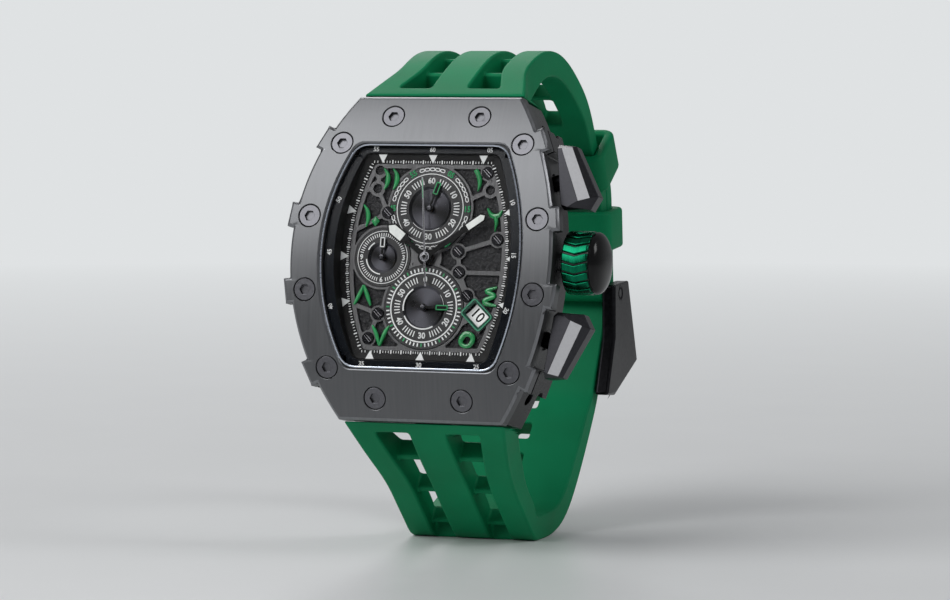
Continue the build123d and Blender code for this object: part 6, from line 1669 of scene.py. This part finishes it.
def lower_strap():
    """Long half of the strap, from the case under the foot and up the back to its free tail."""
    inner_points = drawn_in(LOWER_POINTS, (1.15, 1.1, 1.05, 0.98), 1)
    back_inner = drawn_in(BACK_POINTS, (1.0, 1.0, 0.95, 0.85, 0.74), 1)
    lift, level = vec(0.0, STRAP_THICKNESS), vec(1.0, 0.0)
    tail_bend = RUN_END + LOWER_RUN * 1.6
    outer_bend = tail_bend + LOWER_OUT * (TAIL_GAP + TAIL)
    slant = unit(outer_bend - BACK_POINTS[-1])
    slant_out = -left_of(slant)
    front = Pair(
        curve_through([lower_start, *LOWER_POINTS, foot_front], LOWER_POINTS[0] - lower_start, level),
        curve_through([lower_heel, *inner_points, foot_front + lift], inner_points[0] - lower_heel, level),
        len(LOWER_POINTS) + 1,
    )
    slant_inner = BACK_POINTS[-1] - slant_out * TAIL
    back = Pair(
        curve_through([foot_rear, *BACK_POINTS], level, slant),
        curve_through([foot_rear + lift, *back_inner[:-1], slant_inner], level, slant),
        len(BACK_POINTS),
    )
    m = Moulding()
    openings = window_ends(front.length)
    for distance in distances(0.0, front.length, [end for ends in openings for end in ends], WINDOW_SPACING):
        out, inn = front.at(distance)
        kind = window_kind(distance + NUDGE, openings)
        m.station(out, inn, taper_front(out[1]), kind, half_inner=taper_front(inn[1]))
    for distance in (1.3, 2.7):
        m.station(foot_front + level * distance, foot_front + level * distance + lift, HALF_BACK)
    middles = [back.length - (index + 0.5) * HOLE_PITCH for index in range(HOLE_COUNT)]
    cuts = [middle + side * HOLE_HALF for middle in middles for side in (-1, 1)]
    for distance in distances(0.0, back.length, cuts, 1.7):
        out, inn = back.at(distance)
        holed = any(abs(distance + NUDGE - middle) < HOLE_HALF for middle in middles)
        m.station(out, inn, HALF_BACK, holes="open" if holed else "none")
    outer_arc = bend_points(BACK_POINTS[-1], outer_bend, outer_bend - LOWER_RUN, SHORT_END / 2 + TAIL, 7)
    total = float(np.linalg.norm(outer_arc[0][0] - BACK_POINTS[-1]))
    for distance in distances(0.0, total, [], 1.4)[1:-1]:
        spot = BACK_POINTS[-1] + slant * distance
        inn = spot - slant_out * TAIL
        m.station(spot, inn, HALF_BACK, holes="open" if in_slot((spot + inn) / 2 + slant * 0.7) else "none")
    for index, (spot, normal) in enumerate(outer_arc):
        inn = spot - normal * TAIL
        ahead = outer_arc[min(index + 1, len(outer_arc) - 1)]
        probe = (spot + inn + ahead[0] + ahead[0] - ahead[1] * TAIL) / 4
        m.station(spot, inn, HALF_BACK, holes="open" if in_slot(probe) else "none")
    corner = mitred(RUN_TOP, RUN_CORNER, RUN_END, TAIL_GAP + TAIL)
    tail_arc = bend_points(outer_bend, corner, corner - UPPER_RUN * 9.0, BEND + TAIL_GAP + TAIL, 7)
    start = outer_arc[-1][0]
    total = float(np.linalg.norm(tail_arc[0][0] - start))
    for distance in distances(0.0, total, [], 1.6)[1:-1]:
        spot = start - LOWER_RUN * distance
        inn = spot - LOWER_OUT * TAIL
        m.station(spot, inn, HALF_BACK, holes="open" if in_slot((spot + inn) / 2) else "none")
    for spot, normal in tail_arc:
        m.station(spot, spot - normal * TAIL, HALF_BACK)
    tail_start = tail_arc[-1][0]
    tail_end = RUN_CORNER - UPPER_RUN * 9.2 + UPPER_OUT * (TAIL_GAP + TAIL)
    total = float(np.linalg.norm(tail_end - tail_start))
    for share, trim in TAIL_END:
        spot = tail_start - UPPER_RUN * total * share
        m.station(spot, spot - UPPER_OUT * TAIL, HALF_BACK - trim)
    return m.build("strap_lower")


def strap_piece(name, mesh, body, stands_for):
    """Green silicone piece drawn in the strap's side plane."""
    return add_piece(
        name, mesh, body, strap_green, place=SIDE_PLACE, stands_for=stands_for, slot="strap_silicone"
    )


for side, mesh in (("upper", upper_strap()), ("lower", lower_strap())):
    soften(strap_piece(f"strap_{side}_moulded", mesh, "case", f"strap_{side}"), 0.36, 3, 38.0, 70.0)


def keeper_band(centre, run, out, gap):
    """Closed silicone band with rounded edges, swept round both straps."""
    top, bottom = TAIL_GAP + TAIL + gap, -SHORT_END - gap
    half, wall, length, inner_round, edge = HALF_BACK + gap, 1.7, 6.6, 0.35, 0.55
    middle = centre + out * (top + bottom) / 2
    rise = (top - bottom) / 2
    loop = []
    for sx, sy, first in ((1, 1, 0), (-1, 1, 90), (-1, -1, 180), (1, -1, 270)):
        for step in range(7):
            a = math.radians(first + 15 * step)
            loop.append(((sx * (half - inner_round), sy * (rise - inner_round)), (math.cos(a), math.sin(a))))
    section = []
    for u, v, first in ((wall - edge, length / 2 - edge, 0), (edge, length / 2 - edge, 90),
                        (edge, -length / 2 + edge, 180), (wall - edge, -length / 2 + edge, 270)):
        for step in range(4):
            a = math.radians(first + 30 * step)
            section.append((u + edge * math.cos(a), v + edge * math.sin(a)))
    bm = bmesh.new()
    rows = []
    for (cx, cy), (nx, ny) in loop:
        row = []
        for u, v in section:
            x, o = cx + nx * (inner_round + u), cy + ny * (inner_round + u)
            spot = middle + out * o + run * v
            row.append(bm.verts.new((spot[0], spot[1], x)))
        rows.append(row)
    loft(bm, rows, closed=True)
    return to_mesh(bm, "keeper")


for name, body, centre, run, out, gap in (
    ("keeper_free", "sliding_keeper", RUN_CORNER - UPPER_RUN * 6.4, UPPER_RUN, UPPER_OUT, 0.15),
    ("keeper_fixed", "case", RUN_CORNER + LOWER_RUN * 5.9, LOWER_RUN, LOWER_OUT, 0.0),
):
    smooth(strap_piece(f"{name}_moulded", keeper_band(centre, run, out, gap), body, name), 70.0)

rounded_copy("buckle_frame", 0.5, buckle_black, segments=4)
rounded_copy("buckle_prong", 0.2, buckle_black, segments=2)
rounded_copy("buckle_spring_bar", 0.08, screw_black)


# ---------------------------------------------------------------- floor, light, camera
BACKDROP = (0.74, 0.76, 0.77, 1.0)


def pale_floor():
    """Pale floor that fades into the backdrop away from the watch."""
    f = Finish("pale_floor")
    seen = f.node("ShaderNodeLightPath")["Is Camera Ray"]
    x = f.along((1.0, 0.0, 0.0))
    y = f.along((0.0, 1.0, 0.0))
    far = f.span((x * x + y * y).maths("SQRT"), 0.12, 0.75, 0.0, 1.0)
    soft = f.noise(40.0, 2.0)
    cloth = f.node(
        "ShaderNodeBsdfPrincipled", {},
        {
            "Base Color": f.blend(soft, (0.66, 0.67, 0.675, 1.0), (0.69, 0.7, 0.705, 1.0)), "Roughness": 0.32,
            "Specular IOR Level": 0.35,
        },
    )
    glow = f.node("ShaderNodeEmission", {}, {"Color": BACKDROP, "Strength": 1.0})
    mixed = f.node("ShaderNodeMixShader", {}, {0: far * seen, 1: cloth["BSDF"], 2: glow[0]})
    f.node("ShaderNodeOutputMaterial", {}, {"Surface": mixed[0]})
    return f.material


floor_mesh = bpy.data.meshes.new("floor")
floor_mesh.from_pydata([(-4, -4, 0), (4, -4, 0), (4, 4, 0), (-4, 4, 0)], [], [(0, 1, 2, 3)])
floor_mesh.materials.append(pale_floor())
floor = bpy.data.objects.new("floor", floor_mesh)
bpy.context.scene.collection.objects.link(floor)

world = bpy.data.worlds.new("studio")
bpy.context.scene.world = world
world.use_nodes = True
tree = world.node_tree
tree.nodes.clear()
path = tree.nodes.new("ShaderNodeLightPath")
shown = tree.nodes.new("ShaderNodeBackground")
shown.inputs["Color"].default_value = BACKDROP
lit = tree.nodes.new("ShaderNodeBackground")
lit.inputs["Color"].default_value = (0.95, 0.97, 1.0, 1.0)
lit.inputs["Strength"].default_value = 0.25
mix = tree.nodes.new("ShaderNodeMixShader")
end = tree.nodes.new("ShaderNodeOutputWorld")
tree.links.new(path.outputs["Is Camera Ray"], mix.inputs[0])
tree.links.new(lit.outputs[0], mix.inputs[1])
tree.links.new(shown.outputs[0], mix.inputs[2])
tree.links.new(mix.outputs[0], end.inputs["Surface"])


def lamp(name, spot, target, size, power):
    """Rectangular lamp at a spot, turned to a target."""
    light = bpy.data.lights.new(name, "AREA")
    light.shape = "RECTANGLE"
    light.size, light.size_y = size
    light.energy = power
    made = bpy.data.objects.new(name, light)
    made.location = spot
    made.rotation_mode = "QUATERNION"
    made.rotation_quaternion = (Vector(target) - Vector(spot)).to_track_quat("-Z", "Y")
    bpy.context.scene.collection.objects.link(made)


lamp("key", (-0.62, -0.82, 0.86), (0.0, -0.02, 0.04), (1.1, 0.9), 14.0)
lamp("facets", (0.56, 0.02, 0.44), (0.0, -0.02, 0.05), (0.22, 0.3), 1.1)
lamp("rim", (-0.35, 0.55, 0.5), (0.0, 0.0, 0.05), (0.4, 0.3), 1.6)

# The camera is solved from the photo: lens and sensor in mm, angles in degrees, distances in metres.
CAMERA_LENS, CAMERA_SENSOR, CAMERA_DISTANCE, CAMERA_AZIMUTH, CAMERA_ELEVATION = 140.49, 36.0, 0.56, 20.5, 3.224
AIM_RIGHT, AIM_DOWN = 0.008463, 0.006909
camera_data = bpy.data.cameras.new("camera")
camera_data.lens = CAMERA_LENS
camera_data.sensor_width = CAMERA_SENSOR
camera_data.clip_start, camera_data.clip_end = 0.01, 20.0
camera = bpy.data.objects.new("camera", camera_data)
bpy.context.scene.collection.objects.link(camera)
azimuth, elevation = math.radians(CAMERA_AZIMUTH), math.radians(CAMERA_ELEVATION)
backward = Vector((
    math.sin(azimuth) * math.cos(elevation), -math.cos(azimuth) * math.cos(elevation), math.sin(elevation)
))
right = Vector((math.cos(azimuth), math.sin(azimuth), 0.0))
above = backward.cross(right)
dial_centre = DIAL_CENTRE * MM
camera.location = dial_centre + backward * CAMERA_DISTANCE
aim = dial_centre + right * AIM_RIGHT - above * AIM_DOWN
camera.rotation_mode = "QUATERNION"
camera.rotation_quaternion = (aim - camera.location).to_track_quat("-Z", "Y")
bpy.context.scene.camera = camera
bpy.context.scene.view_settings.view_transform = "Standard"
